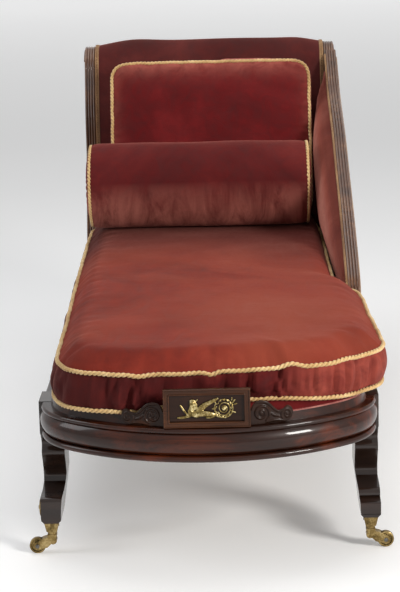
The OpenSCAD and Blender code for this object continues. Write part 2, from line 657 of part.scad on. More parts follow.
module sphinx_mount() {
    color(brass) translate([-mount_w / 2, tablet_y + frame_proud, tablet_low + (tablet_h - mount_h) / 2])
        rotate([90, 0, 0]) {
            linear_extrude(mount_proud * 0.7) polygon(loop(mount_points(SPHINX_BODY_SHARES), 3));
            linear_extrude(mount_proud) polygon(mount_points(SPHINX_WING_SHARES));
            linear_extrude(mount_proud * 0.4)
                groove(mount_points([neck_share, head_share]), mount_h * 0.18);
            translate(concat(mount_points([head_share])[0], 0))
                cylinder(r = mount_h * 0.17, h = mount_proud);
            linear_extrude(mount_proud * 0.5)
                groove(mount_points(fan_shares), mount_h * 0.1);
            linear_extrude(mount_proud * 0.4)
                groove(mount_points([paw_share, fan_shares[1]]), mount_h * 0.1);
            linear_extrude(mount_proud * 0.6)
                groove(spiral(mount_points([tail_share])[0], tail_r, 1, -150, 1.5, 40), mount_h * 0.1);
            linear_extrude(mount_proud * 0.6)
                groove([mount_points([rump_share])[0],
                    spiral(mount_points([tail_share])[0], tail_r, 1, -150, 1.5, 40)[1]], mount_h * 0.1);
            translate(concat(mount_points([tail_share])[0], 0))
                cylinder(r = mount_h * 0.12, h = mount_proud * 0.9);
        }
}
pin_shares = [[0.1, 0.065], [0.4, 0.25], [0.62, 0.12]];
module mount_pin_shanks(gap) {
    for (p = mount_points(pin_shares))
        translate([p[0] - mount_w / 2, tablet_y + frame_proud, tablet_low + (tablet_h - mount_h) / 2
            + p[1]]) rotate([-90, 0, 0])
            cylinder(d = pin_d + 2 * gap, h = tablet_t - frame_proud - overrun);
}
module mount_pins() {
    color(brass) for (p = mount_points(pin_shares))
        translate([p[0] - mount_w / 2, tablet_y + frame_proud, tablet_low + (tablet_h - mount_h) / 2
            + p[1]]) rotate([-90, 0, 0])
            cylinder(d = pin_d, h = tablet_t - frame_proud - 2 * overrun);
}

// Head end. The front line of the posts runs from the rail up and over into the scroll.
scroll_y = overall_l / 2 - scroll_r;
head_crown = 14;       // how far the upholstery stands above the scrolls of the posts
scroll_z = back_h - head_crown - scroll_r;
post_h = scroll_z - rail_top;
post_forward = 20;     // how far the posts' feet reach past the head legs, towards the foot
post_foot_y = head_y - leg_d - post_forward;
POST_FRONT_SHARES = [
    [0, 0], [0.15, 0.135], [0.42, 0.345], [0.67, 0.53], [0.725, 0.6], [0.75, 0.73], [0.82, 0.84],
    [0.92, 0.93]
];
post_run = scroll_y - scroll_r - post_foot_y;
eye_from = 172;        // angle at which the line of the back runs into the scroll
eye_turn = 262;        // angle over which it goes round
post_front = concat(
    curve([for (s = POST_FRONT_SHARES) [post_foot_y + s[0] * post_run, rail_top + s[1] * post_h]], 3),
    arc([scroll_y, scroll_z], scroll_r, eye_from, eye_from - eye_turn, 14));
POST_REAR_SHARES = [
    [0, 0], [0.1, 0.12], [0.36, 0.345], [0.53, 0.53], [0.56, 0.6], [0.58, 0.73], [0.62, 0.8],
    [0.7, 0.86]
];
post_rear_run = scroll_y - head_y;
eye_share = 0.3;       // radius of the scroll's eye, of the scroll
neck_shares = [0.72, 0.875];
post_neck = [head_y + neck_shares[0] * post_rear_run, rail_top + neck_shares[1] * post_h];
post_rear = concat(
    curve([for (s = POST_REAR_SHARES) [head_y + s[0] * post_rear_run, rail_top + s[1] * post_h]], 3),
    [for (i = [0:14]) let (a = eye_from - i * eye_turn / 14, k = min(1, (eye_from - a) / 60))
        [scroll_y, scroll_z] + scroll_r * eye_share * [cos(a), sin(a)]
            + (1 - k) * (1 - k) * (post_neck - [scroll_y, scroll_z] - scroll_r * eye_share
                * [cos(eye_from), sin(eye_from)])]);

// The way that a path runs at one of its points; it starts upright
function heading(path, i) = i == 0 ? [0, 1] : unit(path[min(i + 1, len(path) - 1)] - path[i - 1]);
// A strip along a path: section points are [across, out from the path]
function strip_rings(path, section) = [for (i = [0:len(path) - 1]) let (t = heading(path, i))
    [for (s = section) [s[0], path[i][0] - t[1] * s[1], path[i][1] + t[0] * s[1]]]];
reed_rise = 3;         // how far the reeds stand out
function reed_section(x0, x1) = let (w = (x1 - x0) / reeds) concat(
    [for (i = [0:reeds - 1]) for (k = [0:3])
        [x0 + w * (i + 0.5 - 0.5 * cos(45 * k)), -reed_rise + reed_rise * sin(45 * k)]],
    [[x1, -reed_rise]]);
function post_rings(x0, x1) = let (
    front = strip_rings(post_front, reed_section(x0, x1)),
    body = [for (i = [0:len(post_front) - 1]) concat(front[i],
        [[x1, post_rear[i][0], post_rear[i][1]], [x0, post_rear[i][0], post_rear[i][1]]])])
    concat(
        [for (z = [rail_top - post_tenon_h, rail_top])
            [for (p = body[0]) [(x0 + x1) / 2 + (p[0] - (x0 + x1) / 2) * post_tenon_shares[0],
                head_y - leg_d / 2 + (p[1] - head_y + leg_d / 2) * post_tenon_shares[1], z]]],
        [[for (p = body[0]) [p[0], p[1], rail_top]]], [for (i = [1:len(body) - 1]) body[i]]);
post_tenon_h = 12;     // reach of a post's tenon into the leg
post_tenon_shares = [0.45, 0.4];   // its width and depth, of the post's foot
post_in = frame_w / 2 - show_w;
module post_mortise(side) {
    half = show_w * post_tenon_shares[0] / 2 + fit_gap;
    rear = leg_d / 2 * post_tenon_shares[1] + fit_gap;
    front = (leg_d / 2 + post_forward + reed_rise) * post_tenon_shares[1] + fit_gap;
    translate([side * (post_in + show_w / 2) - half, head_y - leg_d / 2 - front,
        rail_top - post_tenon_h - fit_gap]) cube([2 * half, front + rear, post_tenon_h + overrun]);
}
module head_post(side) {
    color(wood) if (side > 0) skin(post_rings(post_in, frame_w / 2));
        else skin(post_rings(-frame_w / 2, -post_in));
}
module head_post_left() { head_post(-1); }
module head_post_right() { head_post(1); }

// Timber inside the scroll and across the back
web_t = 2;             // thickness of a strip of webbing
crest_slack = 4;       // room between the webbing and the timber in the scroll
crest_r = scroll_r - back_pad_t - web_t - crest_slack;
module crest_rail() {
    color(plain_wood) translate([-post_in, scroll_y, scroll_z]) rotate([0, 90, 0])
        cylinder(r = crest_r, h = 2 * post_in);
}

outside_t = 3;         // thickness of the velvet and its lining outside
slat_h = 50;           // height of the slat behind the back
slat_t = 14;           // thickness of that slat
slat_share = 0.6;      // its height, of the posts' height
rear_by_height = [for (p = post_rear) if (p[1] < post_neck[1]) [p[1], p[0]]];
slat_z = rail_top + slat_share * post_h - slat_h / 2;
slat_y = lookup(slat_z, rear_by_height) - outside_t - slat_t / 2 - fit_gap;
module back_slat() {
    color(plain_wood) translate([-post_in, slat_y - slat_t / 2, slat_z])
        cube([2 * post_in, slat_t, slat_h]);
}

// The upholstered back: pad, webbing behind it and the velvet outside
pad_lift = 5;          // the pad starts this far above the rails
pad_crown = 5;         // how far the middle of the back stands out
pad_slices = 10;
pad_path = concat([[post_foot_y, rail_top + pad_lift]],
    [for (p = post_front) if (p[1] > rail_top + 2 * pad_lift || p[0] > scroll_y) p]);
pad_fade = 6;          // number of path points over which the crown grows from the seat up
pad_least = 0.4;       // how far it stands out at the least
function pad_swell(i) = let (up = heading(pad_path, i)[1])
    pad_least + pad_crown * min(1, max(0, 1 + up)) * min(1, i / pad_fade)
        + (head_crown - pad_crown) * max(0, 1 - abs(up)) * min(1, max(0, 1 + 2 * up));
function pad_section(i) =
    concat([for (k = [0:pad_slices]) let (x = (2 * k / pad_slices - 1)) [x * (post_in - fit_gap),
        pad_swell(i) * (1 - pow(x, 4))]],
        [[post_in - fit_gap, -back_pad_t], [fit_gap - post_in, -back_pad_t]]);
module back_pad() {
    color(velvet) skin([for (i = [0:len(pad_path) - 1]) let (t = heading(pad_path, i))
        [for (s = pad_section(i)) [s[0], pad_path[i][0] - t[1] * s[1],
            pad_path[i][1] + t[0] * s[1]]]]);
}
function inside(path, depth) = [for (i = [0:len(path) - 1]) let (t = heading(path, i))
    [path[i][0] + t[1] * depth, path[i][1] - t[0] * depth]];
// A ribbon along the first points of a path in the side view, drawn across the width
module ribbon(path, count, near, far, x0, x1) {
    a = inside(path, near);
    b = inside(path, far);
    translate([x0, 0, 0]) rotate([90, 0, 90]) linear_extrude(x1 - x0)
        polygon(concat([for (i = [0:count - 1]) a[i]], [for (i = [count - 1:-1:0]) b[i]]));
}
web_w = 50;            // width of a strip of webbing
back_webs = 5;
module back_webbing() {
    count = len([for (p = pad_path) if (p[0] < scroll_y - crest_slack) p]) - 1;
    pitch = 2 * (post_in - web_w / 2) / back_webs;
    color(linen) for (i = [0:back_webs - 1])
        ribbon(pad_path, count, back_pad_t, back_pad_t + web_t, (i - (back_webs - 1) / 2) * pitch - web_w / 2,
            (i - (back_webs - 1) / 2) * pitch + web_w / 2);
}
outside_path = [for (p = post_rear) if (p[0] <= post_neck[0] && p[1] <= post_neck[1]) p];
module outside_back() {
    color(velvet) ribbon(outside_path, len(outside_path), -outside_t, 0, -post_in, post_in);
}
gimp_w = 12;           // width of the gimp braid
gimp_t = 2.5;          // how far it stands out
gimp_over = 1.5;       // how far it is sunk into the velvet's edge
gimp_gap = 0.7;        // height of the glued line under the back's gimp
// The gimp lies along the back's edges, on the outermost slice of the pad
gimp_steps = [for (i = [1:len(pad_path) - 1]) let (p = pad_path[i])
    if (p[1] > scroll_z || p[0] < scroll_y - scroll_r + gimp_w / 2) i];
slice_slope = (1 - pow(1 - 2 / pad_slices, 4)) / (2 / pad_slices * (post_in - fit_gap));
module back_gimp() {
    edge = post_in - fit_gap;
    color(gold) for (side = [-1, 1]) scale([side, 1, 1]) skin([for (i = gimp_steps) let (
        t = heading(pad_path, i), p = pad_path[i], rise = pad_swell(i) * slice_slope * gimp_w)
        [for (s = [[edge - gimp_w, rise + gimp_gap], [edge - gimp_w, rise + gimp_gap + gimp_t],
            [edge, gimp_gap + gimp_t], [edge, gimp_gap]])
            [s[0], p[0] - t[1] * s[1], p[1] + t[0] * s[1]]]]);
}

// The half-length arm: a reeded rail that falls in waves from the scroll to the side rail
arm_end_shares = [0.83, 0.72];   // where the rail meets the scroll, from its middle
arm_top_y = scroll_y - arm_end_shares[0] * scroll_r;
arm_top_z = scroll_z + arm_end_shares[1] * scroll_r;
arm_nose = arm_rail_d * 1.6;     // depth of the rail's foot
arm_foot_y = foot_y + arm_start;
ARM_SHARES = [
    [0, 0], [0.03, 0.1], [0.075, 0.2], [0.27, 0.39], [0.45, 0.54], [0.6, 0.67], [0.83, 0.82],
    [0.91, 0.9], [1, 1]
];
arm_low = rail_base + top_bead_low + 2 * top_bead_r + glue_gap;   // the arm stands on the top bead
arm_line = concat([[arm_foot_y, arm_low]], curve([for (s = ARM_SHARES)
    [arm_foot_y + s[0] * (arm_top_y - arm_foot_y), rail_top + s[1] * (arm_top_z - rail_top)]], 3));
arm_by_height = [for (p = arm_line) [p[1], p[0]]];
back_by_height = [for (p = post_front) if (p[0] < scroll_y) [p[1], p[0]]];
module arm_rail() {
    x0 = post_in + arm_flare;
    x1 = frame_w / 2 + arm_flare;
    body = strip_rings(arm_line, concat(reed_section(x0, x1), [[x1, -arm_rail_d], [x0, -arm_rail_d]]));
    color(wood) difference() {
        skin(body);
        rotate([90, 0, 90]) linear_extrude(frame_w)
            polygon(concat([for (p = post_front) [p[0] - glue_gap, p[1]]],
                [[overall_l, back_h], [overall_l, rail_top]]));
    }
}
// The side of the arm, under its rail and in front of the post
function arm_side(drop, gap) = concat(
    [for (p = inside(arm_line, drop)) if (p[1] > rail_top + overrun
        && p[0] < lookup(p[1], back_by_height) - gap) p],
    [for (i = [len(post_front) - 1:-1:0]) if (post_front[i][0] < scroll_y - scroll_r * 0.99)
        [post_front[i][0] - gap, post_front[i][1]]]);
arm_lining_t = 3;      // thickness of the velvet and its lining outside the arm
arm_face = frame_w / 2 + arm_flare - moulding_inset / 2;   // outer face of that velvet
upright_w = 36;        // width of an upright under the arm rail
upright_t = 22;        // thickness of an upright
UPRIGHT_SHARES = [0.22, 0.52, 0.8];
module arm_uprights() {
    x = arm_face - arm_lining_t - upright_t;
    color(plain_wood) for (u = UPRIGHT_SHARES) let (y = arm_foot_y + u * (arm_top_y - arm_foot_y))
        translate([x, 0, 0]) rotate([90, 0, 90]) linear_extrude(upright_t) intersection() {
            polygon(concat([[arm_foot_y + arm_nose, arm_low]], arm_side(arm_rail_d, 0),
                [[post_foot_y, arm_low]]));
            translate([y - upright_w / 2, arm_low]) square([upright_w, back_h]);
        }
}
module arm_outside() {
    color(velvet) translate([arm_face - arm_lining_t, 0, 0])
        rotate([90, 0, 90]) linear_extrude(arm_lining_t)
            polygon(concat([[arm_foot_y + arm_nose, arm_low]], arm_side(arm_rail_d, 0),
                [[post_foot_y, arm_low]]));
}
// Inside the arm the velvet swells towards the seat
arm_swell = 41;        // how far the arm's pad swells at its fullest
arm_swell_shares = [0.02, 0.96, 0.85];   // where its swell starts, its run and its fullness
arm_pad_t = 5;         // its thickness at the edges
arm_slices = 8;
ARM_LEVEL_SHARES = [0, 0.06, 0.15, 0.28, 0.42, 0.56, 0.7, 0.82, 0.92, 1];
module arm_pad() {
    low = rail_top + deck_h + soft_gap;
    high = scroll_z - scroll_r * 0.1;
    x = post_in + arm_flare - fit_gap;
    gap = soft_gap;
    color(velvet) difference() {
        skin([for (q = ARM_LEVEL_SHARES) let (
        z = low + q * (high - low), y0 = lookup(z + gimp_over, arm_by_height) + reed_rise,
        y1 = lookup(z, back_by_height) - pad_crown - gimp_over,
        swell = arm_swell * pow(max(0, sin(180 * (arm_swell_shares[0] + arm_swell_shares[1] * q))),
            arm_swell_shares[2]))
        concat([[x, y0, z], [x, y1, z]], [for (k = [arm_slices:-1:0]) let (t = k / arm_slices)
            [x - arm_pad_t - swell * pow(sin(180 * t), 0.6), y0 + t * (y1 - y0), z]])]);
        skin(strip_rings(arm_gimp_path, [[x - frame_w, -gimp_w - gap], [x - frame_w, gimp_w],
            [x + overrun, gimp_w], [x + overrun, -gimp_w - gap]]));
    }
}
arm_gimp_path = [for (p = arm_line) if (p[1] > rail_top + 2 * deck_h && p[0] < arm_top_y - gimp_w) p];
module arm_gimp() {
    inner = post_in + arm_flare - fit_gap;
    outer = frame_w / 2 + arm_flare + fit_gap;
    color(gold) {
        skin(strip_rings(arm_gimp_path, [[inner - gimp_t, -gimp_w], [inner - gimp_t, -gimp_over],
            [inner, -gimp_over], [inner, -gimp_w]]));
        skin(strip_rings(arm_gimp_path, [[outer, -gimp_w - arm_rail_d / 2],
            [outer, -gimp_over - arm_rail_d / 2],
            [outer + gimp_t, -gimp_over - arm_rail_d / 2],
            [outer + gimp_t, -gimp_w - arm_rail_d / 2]]));
    }
}

// Seat: webbing over the rails, hessian, and the fixed stuffed seat with its braid
web_in = 39;           // how far in from the mouldings the underside of the seat is hollowed
web_inset = web_in + overrun;   // how far in the webbing ends
seat_back = post_foot_y - fit_gap;
web_end = head_rail_y;
long_webs = 5;
cross_webs = 11;
web_seat_t = 1.5;      // thickness of seat webbing
hessian_t = 1;         // thickness of the hessian
function bow_at(depth, x) = let (v = abs(x)) v < (bow_r - depth) * sin(bow_angle)
    ? bow_y - sqrt(pow(bow_r - depth, 2) - v * v)
    : foot_y - sqrt(max(0, pow(bow_corner_r - depth, 2) - pow(v - corner_x, 2)));
module seat_webbing() {
    pitch = 2 * rail_inner / long_webs;
    run = seat_back - foot_y + bow_depth - 2 * rail_t;
    color(linen) {
        for (i = [0:long_webs - 1]) let (x = (i - (long_webs - 1) / 2) * pitch,
            y0 = bow_at(web_inset, abs(x) + web_w / 2))
            translate([x - web_w / 2, y0, rail_top]) cube([web_w, web_end - y0, web_seat_t]);
        for (i = [0:cross_webs - 1]) let (y = foot_y - bow_depth + 2 * rail_t
            + (i + 0.5) * run / cross_webs, edge = y - web_w / 2,
            half = edge > foot_y ? side_out - web_inset
                : corner_x + sqrt(max(0, pow(bow_corner_r - web_inset, 2) - pow(foot_y - edge, 2))))
            translate([-half, edge, rail_top + web_seat_t + glue_gap])
                cube([2 * half, web_w, web_seat_t - 2 * glue_gap]);
    }
}
hessian_low = rail_top + 2 * web_seat_t;   // the hessian lies on both layers of webbing
module seat_hessian() {
    color(linen) translate([0, 0, hessian_low]) linear_extrude(hessian_t)
        polygon(seat_plan(web_inset, seat_back - overrun, 8));
}
deck_in = 31;          // how far in the velvet of the fixed seat ends
DECK_SHARES = [[0, 0], [0.15, 0.24], [0.5, 0.56], [1, 1]];
deck_roll = 47;        // distance over which the seat rises to its full height
back_roll_share = 0.3; // its back edge rises over this share of that distance
function deck_ring(depth, z) =
    [for (p = seat_plan(depth, seat_back - back_roll_share * (depth - deck_in), 8)) [p[0], p[1], z]];
// It is hollow below, over the webbing and the hessian, and open there at the back
module seat_deck() {
    color(velvet) difference() {
        skin([for (d = DECK_SHARES) deck_ring(deck_in + d[0] * deck_roll, rail_top + d[1] * deck_h)]);
        translate([0, 0, rail_top - overrun])
            linear_extrude(hessian_low + hessian_t - rail_top + overrun)
                polygon(seat_plan(web_in, seat_back + overrun, 8));
    }
}
braid_w = 5.5;         // width of the braid nailed to the rails round the fixed seat
braid_t = 1.6;         // thickness of that braid
module deck_gimp() {
    color(gold) translate([0, 0, rail_top]) linear_extrude(braid_t) difference() {
        polygon(seat_plan(deck_in - braid_w, seat_back - overrun, 8));
        polygon(seat_plan(deck_in - glue_gap, seat_back + overrun, 8));
    }
}
// How far in from the outermost line of the seat a place lies
function seat_depth(p) = let (x = abs(p[0]), y = p[1]) y > foot_y ? side_out - x
    : x > (bow_y - y) * tan(bow_angle) ? bow_corner_r - norm([x - corner_x, y - foot_y])
    : bow_r - norm([x, y - bow_y]);

squab_slack = 8;       // room between the squab and the back
cord_r = cord_d / 2;

// Squab: a long boxed cushion, stuffed wider than the seat at the foot and drawn in beside the
// arm. Shares of the seat's half width, and of the bow's depth or of the length to the back.
SQUAB_SHARES = [
    [0, -0.7], [0.22, -0.66], [0.4, -0.605], [0.57, -0.55], [0.7, -0.48], [0.81, -0.375],
    [0.91, -0.21], [0.99, -0.075], [1.035, 0.015], [1.04, 0.06], [1.028, 0.13], [1.012, 0.216],
    [1.006, 0.3], [0.99, 0.365], [0.945, 0.397], [0.885, 0.416], [0.85, 0.45], [0.84, 0.6],
    [0.84, 0.9], [0.815, 0.98], [0.75, 1], [0, 1], [-0.84, 1], [-0.925, 0.985], [-0.948, 0.945],
    [-0.936, 0.7], [-0.912, 0.4], [-0.892, 0.2], [-0.884, 0.05], [-0.875, -0.11], [-0.85, -0.31],
    [-0.8, -0.49], [-0.72, -0.605], [-0.59, -0.69], [-0.42, -0.735], [-0.2, -0.735]
];
squab_back = post_foot_y - squab_slack;
squab_low = rail_top + deck_h + soft_gap;
squab_edge = squab_low + squab_side_h;
squab_plan = loop([for (s = SQUAB_SHARES)
    [s[0] * side_out, foot_y + s[1] * (s[1] < 0 ? bow_depth : squab_back - foot_y)]], 2);
squab_mid = [-0.03 * side_out, foot_y + 0.43 * (squab_back - foot_y)];
squab_spread = 4;      // how far the foot of the squab stands out past its top seam
squab_shift = 6;       // how far the foot of the squab has crept to the open side
squab_droop = 13.4;    // how far the squab's foot hangs down over the fixed seat's rolled edge
squab_swell = 8;       // how far its long sides swell
deck_full = deck_in + deck_roll;
SQUAB_CROWN_SHARES = [[0.985, 0.33], [0.95, 0.67], [0.88, 0.9], [0.78, 1], [0.4, 1]];
function side_normal(path, i) = let (m = len(path), t = unit(path[(i + 1) % m] - path[(i + m - 1) % m]))
    [t[1], -t[0]];
// A ring round the squab: moved out, swelled at the long sides, and raised by a height
function squab_ring(out, swell, z) = [for (i = [0:len(squab_plan) - 1]) let (
    n = side_normal(squab_plan, i), p = squab_plan[i] + n * (out + swell * pow(abs(n[0]), 4)))
    [p[0], p[1], z]];
// Its foot follows the rolled edge of the fixed seat, or hangs beside it
squab_foot = [for (i = [0:len(squab_plan) - 1]) let (n = side_normal(squab_plan, i),
    free = 1 - max(0, n[1]), p = squab_plan[i] + free * (n * squab_spread - [squab_shift, 0]),
    rise = deck_h * lookup((seat_depth(p) + cord_r - deck_in) / deck_roll, DECK_SHARES))
    [p[0], p[1], min(squab_low + cord_r,
        max(squab_low - free * squab_droop, rail_top + rise + cord_r + soft_gap))]];
squab_sole = [for (i = [0:len(squab_plan) - 1]) let (n = side_normal(squab_plan, i),
    f = squab_foot[i], run = max(2 * cord_d, deck_full - seat_depth(f)))
    [f[0] - run * n[0], f[1] - run * n[1], squab_low]];
module squab() {
    color(faded_velvet) domed([squab_mid[0], squab_mid[1], squab_low], concat(
        [squab_sole, squab_foot, squab_ring(squab_spread / 2, squab_swell, squab_low + squab_side_h * 0.3),
         squab_ring(0, squab_swell * 0.7, squab_low + squab_side_h * 0.7),
         squab_ring(0, 0, squab_edge)],
        [for (c = SQUAB_CROWN_SHARES) [for (p = squab_plan)
            concat(squab_mid + c[0] * (p - squab_mid), squab_edge + c[1] * squab_crown)]]),
        [squab_mid[0], squab_mid[1], squab_edge + squab_crown]);
}
module squab_piping() {
    color(gold) {
        cord_loop(squab_foot, cord_r, 6);
        cord_loop(squab_ring(0, 0, squab_edge), cord_r, 6);
    }
}

// Bolster: a round cushion with gathered, puffed ends inside its two cords
bolster_set = 192.5;   // distance from the squab's back edge to the bolster's middle
bolster_y = squab_back - bolster_set;
bolster_x = (bolster_gap_left - bolster_gap_right) / 2;
bolster_l = 2 * post_in - bolster_gap_left - bolster_gap_right;
bolster_z = squab_edge + squab_crown + soft_gap + bolster_d / 2;
bolster_puff = 10;     // how far each gathered end puffs out
BOLSTER_SHARES = [[-1, 0.935], [-0.94, 0.985], [-0.5, 1], [0.5, 1], [0.94, 0.985], [1, 0.935]];
bolster_sides = 40;
function round_ring(x, r) = [for (i = [0:bolster_sides - 1]) let (a = 360 * i / bolster_sides - 90)
    [bolster_x + x, bolster_y + r * cos(a), bolster_z + r * sin(a)]];
module bolster() {
    end = bolster_l / 2;
    r = bolster_d / 2;
    color(velvet) domed([bolster_x - end - bolster_puff * 0.6, bolster_y, bolster_z], concat(
        [round_ring(-end - bolster_puff * 0.9, r * 0.3), round_ring(-end - bolster_puff, r * 0.6),
         round_ring(-end - bolster_puff * 0.7, r * 0.85)],
        [for (b = BOLSTER_SHARES) round_ring(b[0] * end, b[1] * r)],
        [round_ring(end + bolster_puff * 0.5, r * 0.85), round_ring(end + bolster_puff * 0.7, r * 0.6),
         round_ring(end + bolster_puff * 0.65, r * 0.3)]),
        [bolster_x + end + bolster_puff * 0.5, bolster_y, bolster_z]);
}
module bolster_piping() {
    color(gold) for (side = [-1, 1]) translate([bolster_x + side * bolster_l / 2, bolster_y, bolster_z])
        rotate([0, 90, 0]) rotate_extrude() translate([bolster_d / 2 - cord_r - run_gap, 0])
            circle(r = cord_r, $fn = 24);
}

// Pillow: a boxed cushion that stands on the squab and leans on the back
pillow_lean = 15.5;    // how far the pillow leans back, in degrees
pillow_crown = 26;     // how far each face swells
pillow_power = 0.22;   // squareness of the pillow's outline
pillow_sides = 48;
pillow_stand = 97;     // distance from the back to the pillow's foot
pillow_w = 2 * post_in - pillow_gap_left - pillow_gap_right;
pillow_x = (pillow_gap_left - pillow_gap_right) / 2;
pillow_y = post_foot_y - pillow_stand;
pillow_z = squab_edge + 0.875 * squab_crown + cord_r + soft_gap;
function pillow_ring(share, y) = [for (i = [0:pillow_sides - 1]) let (a = 360 * i / pillow_sides)
    [share * pillow_w / 2 * wave(cos(a), pillow_power), y,
     pillow_h / 2 + share * pillow_h / 2 * wave(sin(a), pillow_power)]];
PILLOW_SHARES = [[0.3, 0.97], [0.62, 0.78], [0.86, 0.42]];
module pillow_place() {
    translate([pillow_x, pillow_y, pillow_z]) rotate([-pillow_lean, 0, 0]) children();
}
module pillow() {
    color(velvet) pillow_place() domed([0, pillow_t + pillow_crown, pillow_h / 2], concat(
        [for (p = PILLOW_SHARES) pillow_ring(p[0], pillow_t + p[1] * pillow_crown)],
        [pillow_ring(1, pillow_t), pillow_ring(0.99, pillow_t / 2), pillow_ring(1, 0)],
        [for (i = [len(PILLOW_SHARES) - 1:-1:0]) let (p = PILLOW_SHARES[i])
            pillow_ring(p[0], -p[1] * pillow_crown)]),
        [0, -pillow_crown, pillow_h / 2]);
}
module pillow_piping() {
    color(gold) pillow_place() for (y = [0, pillow_t])
        cord_loop(pillow_ring(1, y), cord_r, 6);
}

foot_rail();
bow_end_left();
bow_end_right();
side_rail_left();
side_rail_right();
head_rail();
cross_braces();
corner_blocks();
block_screws();
leg_foot_left();
leg_foot_right();
leg_head_left();
leg_head_right();
toe_paterae();
tablet_panel();
tablet_frame();
tablet_volute_left();
tablet_volute_right();
sphinx_mount();
mount_pins();
head_post_left();
head_post_right();
crest_rail();
back_slat();
back_webbing();
back_pad();
outside_back();
back_gimp();
arm_rail();
arm_uprights();
arm_pad();
arm_outside();
arm_gimp();
seat_webbing();
seat_hessian();
seat_deck();
deck_gimp();
squab();
squab_piping();
bolster();
bolster_piping();
pillow();
pillow_piping();
cap_screws();
caster_cap_foot_left();
caster_horn_foot_left();
caster_axle_foot_left();
caster_wheel_foot_left();
caster_cap_foot_right();
caster_horn_foot_right();
caster_axle_foot_right();
caster_wheel_foot_right();
caster_cap_head_left();
caster_horn_head_left();
caster_axle_head_left();
caster_wheel_head_left();
caster_cap_head_right();
caster_horn_head_right();
caster_axle_head_right();
caster_wheel_head_right();
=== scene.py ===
import math
import bpy
import numpy as np
from mathutils import Matrix, Vector, noise


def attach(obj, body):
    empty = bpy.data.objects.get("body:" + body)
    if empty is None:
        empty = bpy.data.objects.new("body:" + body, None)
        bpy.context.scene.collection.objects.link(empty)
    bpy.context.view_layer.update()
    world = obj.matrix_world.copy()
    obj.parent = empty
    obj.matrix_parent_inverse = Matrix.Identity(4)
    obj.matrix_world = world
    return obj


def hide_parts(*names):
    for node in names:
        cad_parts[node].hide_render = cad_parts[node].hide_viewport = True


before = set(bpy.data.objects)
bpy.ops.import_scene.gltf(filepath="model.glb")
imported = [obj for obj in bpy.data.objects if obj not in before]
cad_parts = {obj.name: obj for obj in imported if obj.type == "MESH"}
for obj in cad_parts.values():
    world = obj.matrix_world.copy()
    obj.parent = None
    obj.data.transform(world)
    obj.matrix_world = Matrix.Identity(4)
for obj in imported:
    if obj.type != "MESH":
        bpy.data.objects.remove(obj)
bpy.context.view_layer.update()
scene = bpy.context.scene

# Sizes in millimetres, as in the part's source
FOOT, HEAD, TOP, BASE, SIDE, WIDE = -704.0, 726.0, 313.0, 232.0, 330.0, 333.0
CX, CR, BOW = 180.0, 150.0, 216.0
BR = (CX * CX + BOW * BOW - CR * CR) / (2 * (BOW - CR))
BY = FOOT - BOW + BR
BA = math.degrees(math.asin(CX / (BR - CR)))
LOW, EDGE, CROWN = 333.4, 390.4, 43.0
PF, SY, SZ, SR = 631.0, 854.0, 784.0, 66.0
POST_IN, FLARE, ARM_LOW = 306.0, 5.0, 297.45
GAP = 0.2                      # between a cover and the wood beside it
SIDES = (-1, "left"), (1, "right")


# Lines
def arc(c, r, a0, a1, n):
    a = np.radians(np.linspace(a0, a1, n + 1))
    return np.stack([c[0] + r * np.cos(a), c[1] + r * np.sin(a)], 1)


def curve(p, n, closed=False):
    """A smooth curve through points, as in the part's source."""
    p = np.asarray(p, float)
    m = len(p)
    out = []
    for i in range(m if closed else m - 1):
        pick = [(i - 1) % m, i, (i + 1) % m, (i + 2) % m] if closed else [
            max(i - 1, 0), i, i + 1, min(i + 2, m - 1)]
        a, b, c, d = (p[k] for k in pick)
        for k in range(n):
            t = k / n
            out.append((2 * b + (c - a) * t + (2 * a - 5 * b + 4 * c - d) * t * t
                        + (3 * b - a - 3 * c + d) * t ** 3) / 2)
    if not closed:
        out.append(p[-1])
    return np.array(out)


def even(p, step, closed=False):
    """The same line, with points at equal distances."""
    q = np.vstack([p, p[:1]]) if closed else np.asarray(p)
    d = lengths(q)
    n = max(2, int(round(d[-1] / step)))
    s = np.linspace(0, d[-1], n + 1)[:-1] if closed else np.linspace(0, d[-1], n + 1)
    return np.stack([np.interp(s, d, q[:, k]) for k in range(q.shape[1])], 1)


def along(p, closed=False):
    """Unit directions of a line at its points."""
    return unit(np.roll(p, -1, 0) - np.roll(p, 1, 0) if closed else np.gradient(p, axis=0))


def unit(v):
    return v / np.linalg.norm(v, axis=1)[:, None]


def lengths(p):
    """How far along an open line its points lie."""
    return np.concatenate([[0], np.cumsum(np.linalg.norm(np.diff(p, axis=0), axis=1))])


def square(t):
    """Directions square to those of a line in the side view, as (y, z)."""
    return np.stack([-t[:, 1], t[:, 0]], 1)


def facing(line):
    """The same directions for a whole line, as (x, y, z)."""
    return np.hstack([np.zeros((len(line), 1)), square(along(line))])


def offset(line, d):
    return line + square(along(line)) * np.reshape(d, (-1, 1))


def bow_line(depth, n):
    front = arc((0, BY), BR - depth, 270 - BA, 270 + BA, 2 * n)[1:-1]
    return np.vstack([arc((-CX, FOOT), CR - depth, 180, 270 - BA, n), front,
                      arc((CX, FOOT), CR - depth, 270 + BA, 360, n)])


def seat_plan(depth, back, n=16):
    return np.vstack([bow_line(depth, n), [[SIDE - depth, back], [depth - SIDE, back]]])


def around(n, start=0.0):
    """Angles of n steps round a circle."""
    return 2 * np.pi * (np.arange(n) + start) / n


def hump(t, width, power=2.0):
    """1 at 0, falling away over a width on both sides."""
    return np.exp(-np.abs(t / width) ** power)


def share(v):
    return np.clip(v, 0, 1)


def at_x(x, line):
    """A line of the side view, placed at x."""
    return np.hstack([np.full((len(line), 1), x), line])


